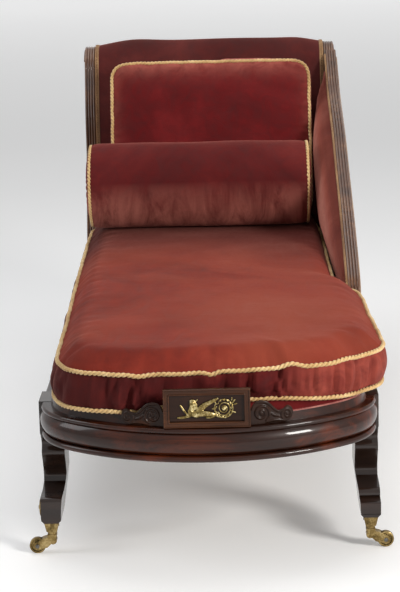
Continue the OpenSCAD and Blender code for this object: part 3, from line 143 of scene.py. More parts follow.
def ripple(s, period, waves, seed):
    """A smooth, irregular wave along a closed line of given length, about -1 to 1."""
    r = np.random.default_rng(seed)
    out = np.zeros_like(s)
    for w in waves:
        out += np.sin(2 * np.pi * (round(period / w) * s / period + r.random())) * r.uniform(0.6, 1)
    return out / len(waves)


def grain(points, scale, seed=0.0):
    """Smooth noise at points."""
    return np.array([noise.noise(Vector(p) * scale + Vector((seed, 0, 0))) for p in points])


# Meshes
def places(me, kind="co"):
    """The places, or the normals, of a mesh's points."""
    got = np.zeros(len(me.vertices) * 3, np.float32)
    me.vertices.foreach_get(kind, got)
    return got.reshape(-1, 3)


def piece(name, verts, faces, mat, body="frame", stands=(), slot=None, fill=None, sharp=None):
    """A mesh from points in millimetres, riding on a body."""
    me = bpy.data.meshes.new(name)
    me.from_pydata((np.asarray(verts, float) * 0.001).tolist(), [], [tuple(f) for f in faces])
    me.validate()
    me.update()
    me.shade_smooth()
    if sharp:
        me.set_sharp_from_angle(angle=math.radians(sharp))
    ob = bpy.data.objects.new(name, me)
    scene.collection.objects.link(ob)
    me.materials.append(mat)
    dress(ob, body, stands)
    return ob


def dress(ob, body, stands=()):
    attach(ob, body)
    if stands:
        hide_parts(*stands)


def skin(rings, ends="fan", closed=True):
    """Points and faces through rings of equally many points."""
    rings = np.asarray(rings, float)
    m, n = rings.shape[:2]
    verts = rings.reshape(-1, 3).tolist()
    faces = []
    for j in range(m - 1):
        for i in range(n if closed else n - 1):
            k = (i + 1) % n
            faces.append((j * n + i, j * n + k, (j + 1) * n + k, (j + 1) * n + i))
    if ends == "fan":
        for j, flip in ((0, True), (m - 1, False)):
            verts.append(rings[j].mean(0).tolist())
            c = len(verts) - 1
            for i in range(n):
                k = (i + 1) % n
                faces.append((j * n + k, j * n + i, c) if flip else (j * n + i, j * n + k, c))
    elif ends == "flat":
        faces.append(tuple(range(n - 1, -1, -1)))
        faces.append(tuple((m - 1) * n + i for i in range(n)))
    return verts, faces


def join(parts):
    """Several lots of points and faces as one."""
    verts, faces = [], []
    for v, f in parts:
        o = len(verts)
        verts += list(v)
        faces += [tuple(i + o for i in q) for q in f]
    return verts, faces


def girdle(p, up, closed):
    """Two directions square to a line at its points, the second as near to up as can be."""
    t = along(p, closed)
    u = np.cross(t, np.broadcast_to(np.asarray(up, float), p.shape))
    u /= np.linalg.norm(u, axis=1)[:, None] + 1e-12
    return u, np.cross(u, t)


def tube(p, r, sides, up, closed=False, squash=1.0):
    """A tube along a line; up is a direction square to it, one for all points or one each."""
    p = np.asarray(p, float)
    u, v = girdle(p, up, closed)
    r = np.broadcast_to(np.asarray(r, float), (len(p),))
    a = around(sides)
    rings = (p[:, None] + r[:, None, None] * (np.cos(a)[None, :, None] * u[:, None]
             + squash * np.sin(a)[None, :, None] * v[:, None]))
    if closed:
        rings = np.concatenate([rings, rings[:1]])
        verts, faces = skin(rings, ends=None)
        last = (len(rings) - 1) * sides
        return verts[:last], [tuple(i % last for i in q) for q in faces]
    return skin(rings)


def rope(p, r, up, pitch=19.0, step=2.4, strands=2):
    """A twisted cord along a closed line."""
    p = even(p, step, True)
    s = lengths(np.vstack([p, p[:1]]))
    turns = round(s[-1] / pitch)
    u, v = girdle(p, up, True)
    parts = []
    for k in range(strands):
        a = 2 * np.pi * (turns * s[:-1] / s[-1] + k / strands)
        c = p + 0.46 * r * (np.cos(a)[:, None] * u + np.sin(a)[:, None] * v)
        parts.append(tube(c, 0.6 * r, 6, up, True))
    return join(parts)


def braid(p, side, out, width, pitch=9.0, r=1.15, step=1.9):
    """Gimp: two edge cords and two that cross over each other between them, along a line on a surface."""
    p = even(np.hstack([p, np.broadcast_to(side, p.shape), np.broadcast_to(out, p.shape)]), step)
    p, side, out = p[:, :3], unit(p[:, 3:6]), unit(p[:, 6:9])
    a = 2 * np.pi * round(len(p) * step / pitch) * np.arange(len(p)) / len(p)
    half = width / 2 - r
    parts = [tube(p + side * (k * half) + out * r, r, 5, out) for k in (-1, 1)]
    for k in (1, -1):
        parts.append(tube(p + side * (k * np.sin(a) * half * 0.85)[:, None]
                          + out * (1.5 * r + k * 0.4 * r * np.cos(2 * a))[:, None], r * 1.05, 5, out))
    return join(parts)


def swell(ob, fixed, cap, slack):
    """Fills a cushion by cloth simulation, holding its seams; no point moves by more than cap metres."""
    frames = 20
    me = ob.data
    rest = places(me)
    group = ob.vertex_groups.new(name="seams")
    group.add([int(i) for i in fixed], 1.0, "REPLACE")
    mod = ob.modifiers.new("Cloth", "CLOTH")
    c = mod.settings
    c.quality = 5
    c.mass = 0.3
    c.tension_stiffness = c.compression_stiffness = 15
    c.shear_stiffness = 5
    c.bending_stiffness = 0.3
    c.shrink_min = -slack
    c.use_pressure = True
    c.uniform_pressure_force = 3.0
    c.effector_weights.gravity = 0
    c.vertex_group_mass = "seams"
    mod.collision_settings.use_collision = False
    mod.point_cache.frame_start, mod.point_cache.frame_end = 1, frames
    for f in range(1, frames + 1):
        scene.frame_set(f)
    move = places(ob.evaluated_get(bpy.context.evaluated_depsgraph_get()).data) - rest
    far = np.linalg.norm(move, axis=1)
    far = np.where(np.isfinite(far), far, 0)
    move = np.nan_to_num(move) * (cap * np.tanh(far / cap) / np.maximum(far, 1e-9))[:, None]
    ob.modifiers.remove(mod)
    ob.vertex_groups.remove(group)
    me.vertices.foreach_set("co", (rest + move).ravel())
    me.update()
    scene.frame_set(1)


def nudge(ob, change):
    """Moves the points of a mesh by a function of their places in millimetres."""
    me = ob.data
    co = change(places(me) * 1000.0, places(me, "normal"))
    me.vertices.foreach_set("co", (co * 0.001).astype(np.float32).ravel())
    me.update()


def wear(ob, how):
    """Sets a velvet mesh's attribute of wear and painted light by places in millimetres: over 0 paler, for
    rubbed pile and a painted sheen; under 0 darker, a painted shade.
    """
    wear_and_painted_light = ob.data.attributes.new("wear_and_painted_light", "FLOAT", "POINT")
    wear_and_painted_light.data.foreach_set("value", how(places(ob.data) * 1000.0).astype(np.float32))


def finer(ob):
    """Adds one level of subdivision to a mesh, for good."""
    mod = ob.modifiers.new("Fine", "SUBSURF")
    mod.levels = mod.render_levels = 1
    dg = bpy.context.evaluated_depsgraph_get()
    me = bpy.data.meshes.new_from_object(ob.evaluated_get(dg))
    ob.modifiers.remove(mod)
    ob.data = me
    me.shade_smooth()


# Materials
def rgb(r, g, b):
    """A colour as it shows, 0 to 255, as Blender wants it."""
    return tuple((v / 255 / 12.92 if v <= 10 else ((v / 255 + 0.055) / 1.055) ** 2.4)
                 for v in (r, g, b)) + (1.0,)


class Nodes:
    """Adds nodes to a node tree; an input is named, or numbered as _0 or _1."""

    def __init__(self, tree, shader):
        self.t = tree
        self.b = tree.nodes[shader]

    def add(self, kind, sets=None, **inputs):
        n = self.t.nodes.new("ShaderNode" + kind)
        for k, v in (sets or {}).items():
            setattr(n, k, v)
        for k, v in inputs.items():
            self.put(n.inputs[int(k[1:])] if k[0] == "_" else n.inputs[k.replace("_", " ")], v)
        return n

    def put(self, socket, v):
        if isinstance(v, bpy.types.NodeSocket):
            self.t.links.new(v, socket)
        elif isinstance(v, bpy.types.Node):
            self.t.links.new(v.outputs[0], socket)
        else:
            socket.default_value = v

    def math(self, kind, a, b):
        return self.add("Math", dict(operation=kind), _0=a, _1=b)

    def span(self, v, a, b, c, d):
        return self.add("MapRange", Value=v, From_Min=a, From_Max=b, To_Min=c, To_Max=d).outputs[0]

    def seen(self):
        """1 for what the camera sees, also in metal and through glass, and 0 for the light on things."""
        ray = self.add("LightPath").outputs
        return self.math("MAXIMUM", ray["Is Camera Ray"],
                         self.math("MAXIMUM", ray["Is Glossy Ray"], ray["Is Transmission Ray"]))

    def set(self, **inputs):
        for k, v in inputs.items():
            self.put(self.b.inputs[k.replace("_", " ")], v)


class Paint(Nodes):
    """A procedural material, in the row frame's coordinates."""

    def __init__(self, name, **sockets):
        self.m = bpy.data.materials.new(name)
        self.m.use_nodes = True
        super().__init__(self.m.node_tree, "Principled BSDF")
        self.place = self.add("TexCoord").outputs["Object"]
        self.set(**sockets)

    def scaled(self, x, y, z):
        return self.add("Mapping", Vector=self.place, Scale=(x, y, z)).outputs[0]

    def noise(self, scale, detail=3.0, rough=0.55, at=None, distort=0.0):
        return self.add("TexNoise", Vector=at or self.place, Scale=scale, Detail=detail,
                        Roughness=rough, Distortion=distort).outputs["Fac"]

    def ramp(self, fac, *stops):
        n = self.add("ValToRGB", Fac=fac)
        e = n.color_ramp.elements
        while len(e) < len(stops):
            e.new(0.5)
        for k, (pos, col) in enumerate(stops):
            e[k].position = pos
            e[k].color = rgb(*col)
        return n.outputs["Color"]

    def mix(self, fac, a, b, kind="MIX"):
        n = self.add("Mix", dict(data_type="RGBA", blend_type=kind))
        self.put(n.inputs["Factor"], fac)
        self.put(n.inputs[6], a)
        self.put(n.inputs[7], b)
        return n.outputs[2]

    def bump(self, height, strength, distance, under=None):
        n = self.add("Bump", Height=height, Strength=strength, Distance=distance)
        if under is not None:
            self.put(n.inputs["Normal"], under)
        return n.outputs[0]


def wood(name, grain_axis, dark, mid, light, coat=0.4):
    """French-polished mahogany, its grain along one axis."""
    p = Paint(name, Coat_Weight=coat, Coat_Roughness=0.06, Specular_IOR_Level=0.15)
    k = [1.0, 1.0, 1.0]
    k[grain_axis] = 0.07
    streak = p.noise(34.0, 5.0, 0.62, p.scaled(*k), 0.6)
    figure = p.noise(7.0, 3.0, 0.5, p.scaled(*[0.5 + 0.5 * v for v in k]), 0.8)
    pores = p.noise(420.0, 2.0, 0.5, p.scaled(*[v if v == 1.0 else 0.05 for v in k]))
    both = p.mix(0.45, streak, figure)
    col = p.ramp(both, (0.28, dark), (0.5, mid), (0.74, light))
    col = p.mix(p.span(pores, 0.3, 0.42, 0.5, 0.0), col, rgb(14, 7, 5))
    wear = p.noise(3.1, 4.0, 0.6)
    p.set(Base_Color=col, Roughness=p.span(wear, 0.3, 0.75, 0.22, 0.38),
          Normal=p.bump(p.mix(0.5, pores, streak), 0.16, 0.0005))
    return p.m


def velvet(name, deep, mid, pale, patch, faded=None, sheen=0.3, low=None, wear_and_painted_light=None):
    """Cotton velvet whose pile lies this way and that.

    It is paler where the mesh's attribute of wear and painted light is over 0 (rubbed pile, painted sheen),
    and darker where it is under (painted shade); two heights in metres and a colour paint a sheen paler
    downwards.
    """
    p = Paint(name, Sheen_Weight=sheen, Sheen_Roughness=0.35, Sheen_Tint=rgb(235, 150, 135),
              Specular_IOR_Level=0.15)
    nap = p.noise(patch, 4.0, 0.6, None, 0.9)
    brush = p.noise(26.0, 4.0, 0.62, p.scaled(1.0, 0.35, 1.0), 1.4)
    both = p.mix(0.25, nap, brush)
    col = p.ramp(both, (0.3, deep), (0.5, mid), (0.72, pale))
    if faded:
        col = p.mix(p.span(p.noise(2.1, 3.0, 0.55, None, 0.5), 0.38, 0.66, 0.0, 0.75), col, rgb(*faded))
    # Paler where the attribute of wear and painted light is over 0 (rubbed pile, painted sheen), darker under
    # 0 (painted shade)
    painted_light_and_wear = p.add("Attribute", dict(attribute_name="wear_and_painted_light")).outputs["Fac"]
    patchy = p.span(p.noise(22.0, 5.0, 0.65, None, 1.0), 0.3, 0.62, 0.35, 1.0)
    col = p.mix(p.math("MULTIPLY", p.span(painted_light_and_wear, 0, 1, 0, 1), patchy), col, rgb(*(wear_and_painted_light or pale)))
    col = p.mix(p.span(painted_light_and_wear, 0, -1, 0, 1), col, rgb(*[0.8 * v for v in deep]))
    crease = p.noise(38.0, 3.0, 0.6, p.scaled(0.3, 1.0, 1.0), 2.2)
    # A painted sheen, streaked, growing paler downwards between the two heights
    if low:
        z = p.add("SeparateXYZ", Vector=p.place).outputs[2]
        streak = p.noise(16.0, 5.0, 0.65, p.scaled(1.0, 0.3, 0.3), 0.8)
        col = p.mix(p.math("MULTIPLY", p.span(z, low[1], low[0], 0.0, 0.95),
                           p.span(streak, 0.36, 0.58, 0.2, 1.0)), col, rgb(*low[2]))
    pile = p.noise(1500.0, 2.0, 0.7)
    col = p.mix(p.span(pile, 0.35, 0.65, 0.0, 0.16), col, rgb(*deep), "MULTIPLY")
    p.set(Base_Color=col, Roughness=p.span(brush, 0.3, 0.7, 0.72, 0.95),
          Normal=p.bump(pile, 0.35, 0.0006, p.bump(p.mix(0.5, brush, crease), 0.3, 0.004)))
    return p.m


def thread(name, dark, mid, pale):
    """Spun cord: fine fibres and soiled hollows."""
    p = Paint(name, Sheen_Weight=0.3, Sheen_Roughness=0.4, Specular_IOR_Level=0.35)
    fibre = p.noise(900.0, 3.0, 0.6, None, 0.4)
    soil = p.noise(14.0, 4.0, 0.6)
    col = p.ramp(p.mix(0.5, fibre, soil), (0.32, dark), (0.5, mid), (0.66, pale))
    p.set(Base_Color=col, Roughness=p.span(fibre, 0.3, 0.7, 0.5, 0.8),
          Normal=p.bump(fibre, 0.5, 0.0004))
    return p.m


def metal(name, dark, mid, pale, rough, chasing=0.2, scale=45.0):
    """Old brass or steel: bright where handled, dull in the hollows."""
    p = Paint(name, Metallic=1.0)
    age = p.noise(scale, 5.0, 0.65, None, 0.5)
    fine = p.noise(380.0, 3.0, 0.6)
    col = p.ramp(p.mix(0.35, age, fine), (0.34, dark), (0.5, mid), (0.64, pale))
    p.set(Base_Color=col, Roughness=p.span(age, 0.3, 0.7, rough + 0.22, rough),
          Normal=p.bump(p.mix(0.6, fine, age), chasing, 0.0004))
    return p.m


def weave(name, a, b, pitch):
    """Plain woven jute."""
    p = Paint(name, Specular_IOR_Level=0.2)
    f = 2 * math.pi / pitch / 20
    waves = [p.add("TexWave", dict(bands_direction=d), Vector=p.place, Scale=f, Distortion=0.6)
             for d in "XYZ"]
    x, y, z = (w.outputs["Fac"] for w in waves)
    net = p.mix(1.0, p.mix(1.0, x, y, "MULTIPLY"), z, "DIFFERENCE")
    tone = p.noise(30.0, 4.0, 0.6)
    col = p.mix(p.span(net, 0.1, 0.8, 0.0, 0.6), p.mix(tone, rgb(*a), rgb(*b)), rgb(*[v * 0.5 for v in a]))
    p.set(Base_Color=col, Roughness=p.span(tone, 0.3, 0.7, 0.8, 0.95), Normal=p.bump(net, 0.5, 0.0006))
    return p.m


MAHOGANY = ((20, 8, 3), (44, 17, 6), (104, 42, 15))
wood_x = wood("mahogany_across", 0, *MAHOGANY)
wood_y = wood("mahogany_along", 1, *MAHOGANY)
# Paler than the rails' mahogany: painted light on the reeded posts, scrolls and arm rail
wood_lit_reeded = wood("mahogany_reeded", 2, (48, 27, 15), (92, 58, 36), (140, 98, 65), 1.0)
ebonised = wood("mahogany_dark", 0, (16, 10, 8), (36, 23, 17), (64, 40, 29), 0.7)
carved = wood("mahogany_carved", 0, (20, 9, 5), (42, 22, 12), (80, 46, 28), 0.1)
tablet_wood = wood("mahogany_tablet", 0, (30, 15, 7), (66, 36, 18), (108, 64, 34), 0.15)
beech = wood("plain_beech", 0, (120, 86, 56), (160, 122, 84), (188, 150, 108), 0.0)
chased = metal("chased_brass", (52, 42, 20), (140, 120, 72), (226, 210, 158), 0.26, 1.0, 130.0)
brass = metal("aged_brass", (66, 54, 32), (138, 116, 72), (192, 170, 120), 0.3)
steel = metal("old_steel", (60, 58, 55), (110, 108, 104), (150, 148, 145), 0.3)
# The last colour given to the crimson, arm and boxing velvets is their paler look where rubbed and under a
# painted sheen
red = velvet("crimson_velvet", (58, 10, 12), (92, 17, 19), (124, 32, 33), 2.4, wear_and_painted_light=(168, 92, 80))
back_red = velvet("brown_velvet", (48, 16, 15), (76, 28, 26), (104, 46, 42), 2.4)
# The bolster's lower part takes a painted sheen
bolster_red = velvet("bolster_velvet", (58, 14, 14), (86, 22, 22), (112, 38, 35), 2.0,
                     low=(0.45, 0.56, (188, 114, 100)))
pink = velvet("arm_velvet", (104, 44, 37), (148, 74, 60), (184, 114, 98), 4.0, None, 0.8,
              wear_and_painted_light=(190, 130, 114))
squab_red = velvet("squab_velvet", (86, 24, 17), (127, 44, 32), (154, 69, 53), 2.6, (137, 63, 44), 0.2)
box_red = velvet("boxing_velvet", (48, 10, 10), (84, 22, 21), (122, 44, 40), 5.0, wear_and_painted_light=(146, 66, 54))
gold = thread("gold_cord", (140, 102, 56), (204, 168, 112), (236, 212, 164))
gimp = thread("gold_gimp", (90, 60, 36), (142, 104, 68), (184, 148, 104))
rose = thread("faded_gimp", (100, 42, 40), (154, 86, 78), (200, 146, 130))
jute = weave("jute_webbing", (150, 124, 84), (176, 150, 108), 0.003)
hessian = weave("hessian", (140, 116, 78), (170, 144, 100), 0.0016)

# Squab
# Its outline, as shares of the seat's half width, and of the bow's depth or of the length to the back
SQUAB = [
    [0, -0.7], [0.22, -0.66], [0.4, -0.605], [0.57, -0.55], [0.7, -0.48], [0.81, -0.375],
    [0.91, -0.21], [0.99, -0.075], [1.035, 0.015], [1.04, 0.06], [1.028, 0.13], [1.012, 0.216],
    [1.006, 0.3], [0.99, 0.365], [0.945, 0.397], [0.885, 0.416], [0.85, 0.45], [0.84, 0.6],
    [0.84, 0.9], [0.815, 0.98], [0.75, 1], [0, 1], [-0.84, 1], [-0.925, 0.985], [-0.948, 0.945],
    [-0.936, 0.7], [-0.912, 0.4], [-0.892, 0.2], [-0.884, 0.05], [-0.875, -0.11], [-0.85, -0.31],
    [-0.8, -0.49], [-0.72, -0.605], [-0.59, -0.69], [-0.42, -0.735], [-0.2, -0.735]]
SQUAB_BACK = PF - 8
plan = curve([[x * SIDE, FOOT + y * (BOW if y < 0 else SQUAB_BACK - FOOT)] for x, y in SQUAB], 8, True)
half_n = 230
turn = int(np.argmax(plan[:, 1] + (np.abs(plan[:, 0] + 10) < 60) * 50))
right = even(plan[:turn + 1], 1.0)
left = even(np.vstack([plan[turn:], plan[:1]]), 1.0)
plan = np.vstack([q[np.round(np.linspace(0, len(q) - 1, half_n + 1)).astype(int)][:-1]
                  for q in (right, left)])
N = len(plan)
tangent = along(plan, True)
normal = np.stack([tangent[:, 1], -tangent[:, 0]], 1)
run = lengths(np.vstack([plan, plan[:1]]))
run, girth = run[:-1], run[-1]
spine = np.stack([np.full(N, -0.03 * SIDE), np.clip(plan[:, 1], FOOT + 90, SQUAB_BACK - 230)], 1)
side_pull = np.abs(normal[:, 0]) ** 4
wobble_out = 1.4 * ripple(run, girth, (190, 95, 47), 3)
wobble_up = 1.3 * ripple(run, girth, (260, 120, 60), 4)
near_foot = plan[:, 1] < FOOT + 30
for x, rise, wide in ((160, 6.5, 17), (9, -5.5, 9), (-126, -3, 16), (262, 2.5, 20)):
    wobble_up += rise * hump(plan[:, 0] - x, wide) * near_foot


def seat_depth(p):
    """How far in from the outermost line of the seat a place lies."""
    x, y = np.abs(p[:, 0]), p[:, 1]
    bend = CR - np.hypot(x - CX, y - FOOT)
    front = BR - np.hypot(x, y - BY)
    return np.where(y > FOOT, SIDE - x, np.where(x > (BY - y) * math.tan(math.radians(BA)), bend, front))


# The fixed seat's edge stands in by DECK_IN, and rises by DECK_H over DECK_ROLL
DECK_IN, DECK_ROLL, DECK_H = 31, 47, 20
DECK = [[0, 0], [0.05, 0.1], [0.15, 0.25], [0.5, 0.57], [1, 1]]
deck_z = lambda d: TOP + DECK_H * np.interp((d - DECK_IN) / DECK_ROLL, *np.array(DECK).T)
free = 1 - np.maximum(0, normal[:, 1])
foot = plan + free[:, None] * (normal * 4 - [6, 0])
foot_z = np.minimum(LOW + 4.5, np.maximum(LOW - free * 13.4, deck_z(seat_depth(foot) + 4.5) + 4.9))
sole = foot - normal * np.maximum(18, 78 - seat_depth(foot))[:, None]


def level(p, z):
    return np.hstack([p, np.broadcast_to(np.asarray(z, float), (N,))[:, None]])


rings = [level(spine + k * (sole - spine), LOW) for k in (0.04, 0.3, 0.6, 0.85, 1.0)]
rings += [level((sole + foot) / 2, (LOW + foot_z) / 2 + 1)]
zones = [-1.0] * 6 + [0.0]
rings.append(level(foot, foot_z))
for h in np.linspace(0, 1, 11)[1:-1]:
    p = foot * (1 - h) + plan * h + normal * ((2.5 + 5.5 * side_pull) * math.sin(math.pi * h) ** 0.7
                                              + h * wobble_out)[:, None]
    rings.append(level(p, foot_z + h * (EDGE + wobble_up - foot_z)))
    zones.append(float(h))
top_seam = len(rings)
# How far each ring of the top lies in from the seam, as a share of the way to the spine
INWARD = [0, 0.012, 0.03, 0.052, 0.08, 0.115, 0.16, 0.22, 0.3, 0.4, 0.52, 0.65, 0.78, 0.9, 0.96]
# The edge rolls over more tightly where the arm presses on it
pressed = share((plan[:, 1] - FOOT - 540) / 90) * share(3 * normal[:, 0] - 1)
for k in 1 - np.array(INWARD):
    u = np.minimum(1, (1 - k) / (0.2 - 0.12 * pressed))
    rise = (CROWN - 4.5) * (1 - (1 - u) ** 2.8)
    rings.append(level(spine + k * (plan + normal * wobble_out[:, None] - spine),
                       EDGE + wobble_up * k ** 4 + rise))
    zones.append(2 - float(k))
verts, faces = skin(rings, ends=None)
for base, flip in ((0, True), ((len(rings) - 1) * N, False)):
    for i in range(half_n):
        q = tuple(dict.fromkeys((base + i, base + i + 1, base + (N - i - 1) % N, base + (N - i) % N)))
        if len(q) > 2:
            faces.append(q[::-1] if flip else q)
squab = piece("squab_cover", verts, faces, squab_red, "squab_loose", ["squab"], "faded_velvet", 0.75)
squab.data.materials.append(box_red)
for f in squab.data.polygons:
    if f.vertices[0] < top_seam * N and f.index < (len(rings) - 1) * N:
        f.material_index = 1
zone = squab.data.attributes.new("zone", "FLOAT", "POINT")
zone.data.foreach_set("value", np.repeat(np.array(zones, np.float32), N))
swell(squab, list(range(7 * N)) + list(range(top_seam * N, (top_seam + 1) * N)), 0.004, 0.02)


def pleats(period, gap, seed, width):
    """Places, depths, widths and slants of irregular folds along a closed line."""
    r = np.random.default_rng(seed)
    at = np.cumsum(r.uniform(0.35, 1.7, int(period / gap) + 2) * gap)
    at = at[at < period]
    count = len(at)
    return at, r.uniform(0.25, 1.0, count) ** 1.4, width * r.uniform(0.6, 1.5, count), r.uniform(-1, 1, count)


at, deep, wide, lean = pleats(girth, 52.0, 11, 6.0)
tight = pleats(girth, 12.0, 12, 2.8)[:3]
# The deep folds that show at the foot end: place across, depth, width, slant
SHOWN = [(-139, 2.3, 7, 0.5), (-122, 1.5, 6, -0.6), (-84, 1.0, 9, 0.3), (-190, 0.9, 9, -0.2),
         (-30, 0.7, 12, 0.2), (30, 0.8, 10, -0.3), (78, 1.5, 8, 0.4), (128, 1.6, 7, 0.7),
         (143, 1.3, 6, -0.5), (182, 1.0, 6, 0.5), (203, 1.4, 6, -0.2), (224, 0.8, 6, 0.3),
         (243, 1.5, 6, 0.1), (262, 0.9, 5, -0.3), (279, 1.3, 6, 0.2), (294, 0.8, 5, 0),
         (307, 1.2, 6, 0.2), (318, 0.8, 5, -0.1)]
for x, *fold in SHOWN:
    i = int(np.argmin(np.abs(plan[:, 0] - x) + (plan[:, 1] > FOOT) * 900))
    at, deep, wide, lean = (np.append(a, v) for a, v in zip((at, deep, wide, lean), (run[i], *fold)))


def gathers(s, around, at, deep, wide):
    """How far the fine folds of a seam draw places in, by how far along the seam they lie."""
    total = np.zeros(len(s))
    for a, d, w in zip(at, deep, wide):
        t = (s - a + around / 2) % around - around / 2
        total -= d * hump(t, w)
    return total


def zones_of(count):
    """Where the squab's points lie: -1 under it, 0 to 1 up its side, and over 1 on top."""
    part = np.zeros(count, np.float32)
    squab.data.attributes["zone"].data.foreach_get("value", part)
    return part


def ruck(co, no):
    """Folds the squab's side, puckers its seams and smooths its crown."""
    part = zones_of(len(co))
    d = np.linalg.norm(co[:, None, :2] - plan[None], axis=2)
    near = np.argmin(d, axis=1)
    s, out = run[near], d[np.arange(len(co)), near]
    h = share(part)
    boxing = (part > 0.001) & (part < 0.999)
    body = np.where(boxing, share(np.sin(np.pi * h)) ** 0.55, 0)
    off = 1.6 * body * grain(co * 0.001 * [1, 1, 0.4], 21.0, 2.0)
    for a, depth, w, slant in zip(at, deep, wide, lean):
        t = (s - a - slant * 22 * (h - 0.5) + girth / 2) % girth - girth / 2
        off -= 7.0 * depth * hump(t, w, 1.2) * body
        off += 3.0 * depth * hump(np.abs(t) - 2.3 * w, 1.3 * w) * body
    fine = gathers(s, girth, *tight)
    off += 2.6 * fine * np.where(boxing, hump(np.minimum(h, 1 - h), 0.24, 1.5), 0)
    top = part >= 0.999
    puck = np.where(top, fine * 2.4 * hump(out - 10, 13), 0)
    calm = share((out - 20) / 110)
    calm = np.where(top, calm * calm * (3 - 2 * calm), 0)
    soft = grain(co * 0.001, 4.5, 3.0) * 4.5 + grain(co * 0.001, 12.0, 8.0) * 1.5
    co = co + no * (off * (1 - calm))[:, None]
    co[:, 2] += calm * (EDGE + CROWN - 3.5 - co[:, 2]) + puck + soft * np.where(top, share(out / 60), 0)
    return co


finer(squab)
nudge(squab, ruck)


def squab_painted_light(co):
    """Painted shade on the top towards the bolster and by the right arm; on the boxing a painted highlight at
    the foot's right side and painted shade on its left.
    """
    part = zones_of(len(co))
    boxing = (part > -0.5) & (part < 0.999)
    x, y = co[:, 0], co[:, 1]
    # Boxing: painted highlight at the right of the foot, painted shade on the left
    painted_light_and_wear = share((x - 130) / 90) * share((FOOT + 160 - y) / 160) - 0.5 * share((-60 - x) / 120)
    # Top: painted shade deepening towards the bolster, with a patch by the right arm
    back = share((y + 40) / 320) ** 1.2 + 0.35 * hump(x - 190, 90) * hump(y - 60, 160)
    return np.where(boxing, painted_light_and_wear, -np.minimum(1, back) * (part >= 0.999))


wear(squab, squab_painted_light)
CORD = 4.5                     # the cords' radius as drawn; the squab's are a little fuller
cords = [level(foot + normal * 1.0, foot_z + 0.3),
         level(plan + normal * (1.2 + wobble_out)[:, None], EDGE + wobble_up)]
piece("squab_cord", *join([rope(even(c, 4, True), CORD + 0.1, (0, 0, 1)) for c in cords]), gold,
      "squab_loose", ["squab_piping"], "gold_cord")

# Bolster: its middle, diameter and length
BX, BYY, BZ, BD, BL = -27.39, 430.6, 537.8, 208.0, 540.0
R = BD / 2
M, END = 128, 12               # points round it, and rings in each end
theta = around(M)


def end_puff(t, out):
    """How far a gathered end stands out, from its middle at 0 to its seam at 1."""
    return out * math.sin(math.pi * min(1, 1.06 * (1 - t) + 0.02)) ** 0.8 + 2 * (1 - t)


prof = [(-BL / 2 - end_puff(t, 10), R * 0.935 * t, 1 - t) for t in np.linspace(0, 1, END)[1:]]
near_end = [0.92, 0.955, 0.98, 0.995]
body_x = np.concatenate([[-x for x in near_end[::-1]], np.linspace(-0.88, 0.88, 40), near_end])
prof += [(x * BL / 2, R * (0.935 + 0.065 * min(1, (1 - abs(x)) / 0.07) ** 0.6), 0) for x in body_x]
prof += [(BL / 2 + end_puff(t, 8), R * 0.935 * t, 1 - t) for t in np.linspace(1, 0, END)[:-1]]
rings = []
folds = 25
for x, r, g in prof:
    sgn = -1 if x < 0 else 1
    fold = np.zeros(M)
    if g > 0:
        fold = np.abs(np.sin(folds * theta / 2 + 1.3 * np.sin(3 * theta + sgn))) ** 0.7 - 0.6
        fold *= 3.4 * math.sin(math.pi * min(1, 0.12 + g * 0.86))
    rings.append(np.stack([BX + x + sgn * fold, BYY + r * np.cos(theta), BZ + r * np.sin(theta)], 1))
bolster = piece("bolster_cover", *skin(rings), bolster_red, "bolster_loose", ["bolster"], "velvet", 0.8)
count = len(prof)
held = [i for j in (*range(END), *range(count - END, count)) for i in range(j * M, (j + 1) * M)]
swell(bolster, held + [count * M, count * M + 1], 0.004, 0.015)
bolster_folds = pleats(2 * math.pi * R, 17.0, 21, 3.6)[:3]


def bolster_ruck(co, no):
    x = (co[:, 0] - BX) / (BL / 2)
    s = (np.arctan2(co[:, 2] - BZ, co[:, 1] - BYY) % (2 * np.pi)) * R
    edge = hump(share(1 - np.abs(x)), 0.06, 1.2)
    off = (1.7 * gathers(s, 2 * math.pi * R, *bolster_folds) * edge
           + grain(co * 0.001, 6.0, 5.0) * 2.6 + grain(co * 0.001 * [0.4, 1, 1], 19.0, 9.0) * 1.2)
    co = co + no * np.where(np.abs(x) < 1, off, 0)[:, None]
    co[:, 2] = np.maximum(co[:, 2], EDGE + CROWN + 0.3)
    return co


finer(bolster)
nudge(bolster, bolster_ruck)
ring = [np.stack([np.full(220, BX + k * BL / 2), BYY + (R - 4.8) * np.cos(a), BZ + (R - 4.8) * np.sin(a)], 1)
        for k in (-1, 1) for a in [around(220)]]
piece("bolster_cord", *join([rope(r, CORD, (1, 0, 0)) for r in ring]), gold, "bolster_loose",
      ["bolster_piping"], "gold_cord")

# Pillow: its middle across, width, height, thickness, crown and lean, and where its foot stands
PX, PW, PH, PT, PC, LEAN = 3.5, 515.0, 406.0, 84.0, 26.0, 15.5
PY, PZ = PF - 97, EDGE + 0.875 * CROWN + 4.5 + 0.4
K = 176
a = around(K, 0.5)
px, pz = (np.sign(f(a)) * np.abs(f(a)) ** 0.17 for f in (np.cos, np.sin))
rim = even(np.stack([px * PW / 2, pz * PH / 2], 1), 1.0, True)
rim = rim[np.round(np.linspace(0, len(rim), K + 1)[:-1]).astype(int) % len(rim)]
corner = np.abs(rim[:, 0] / (PW / 2)) ** 6 * np.abs(rim[:, 1] / (PH / 2)) ** 6
rim = rim * (1 - 0.012 * (1 - corner)[:, None])
rim_run = lengths(np.vstack([rim, rim[:1]]))
rim_run, rim_length = rim_run[:-1], rim_run[-1]
rim_wave = 1.5 * ripple(rim_run, rim_length, (170, 80, 45), 31)


def pillow_ring(k, y, out=0.0):
    p = rim * k + unit(rim) * (out + rim_wave * (k > 0.9))[:, None]
    return np.stack([p[:, 0], np.broadcast_to(np.asarray(y, float), (K,)), PH / 2 + p[:, 1]], 1)


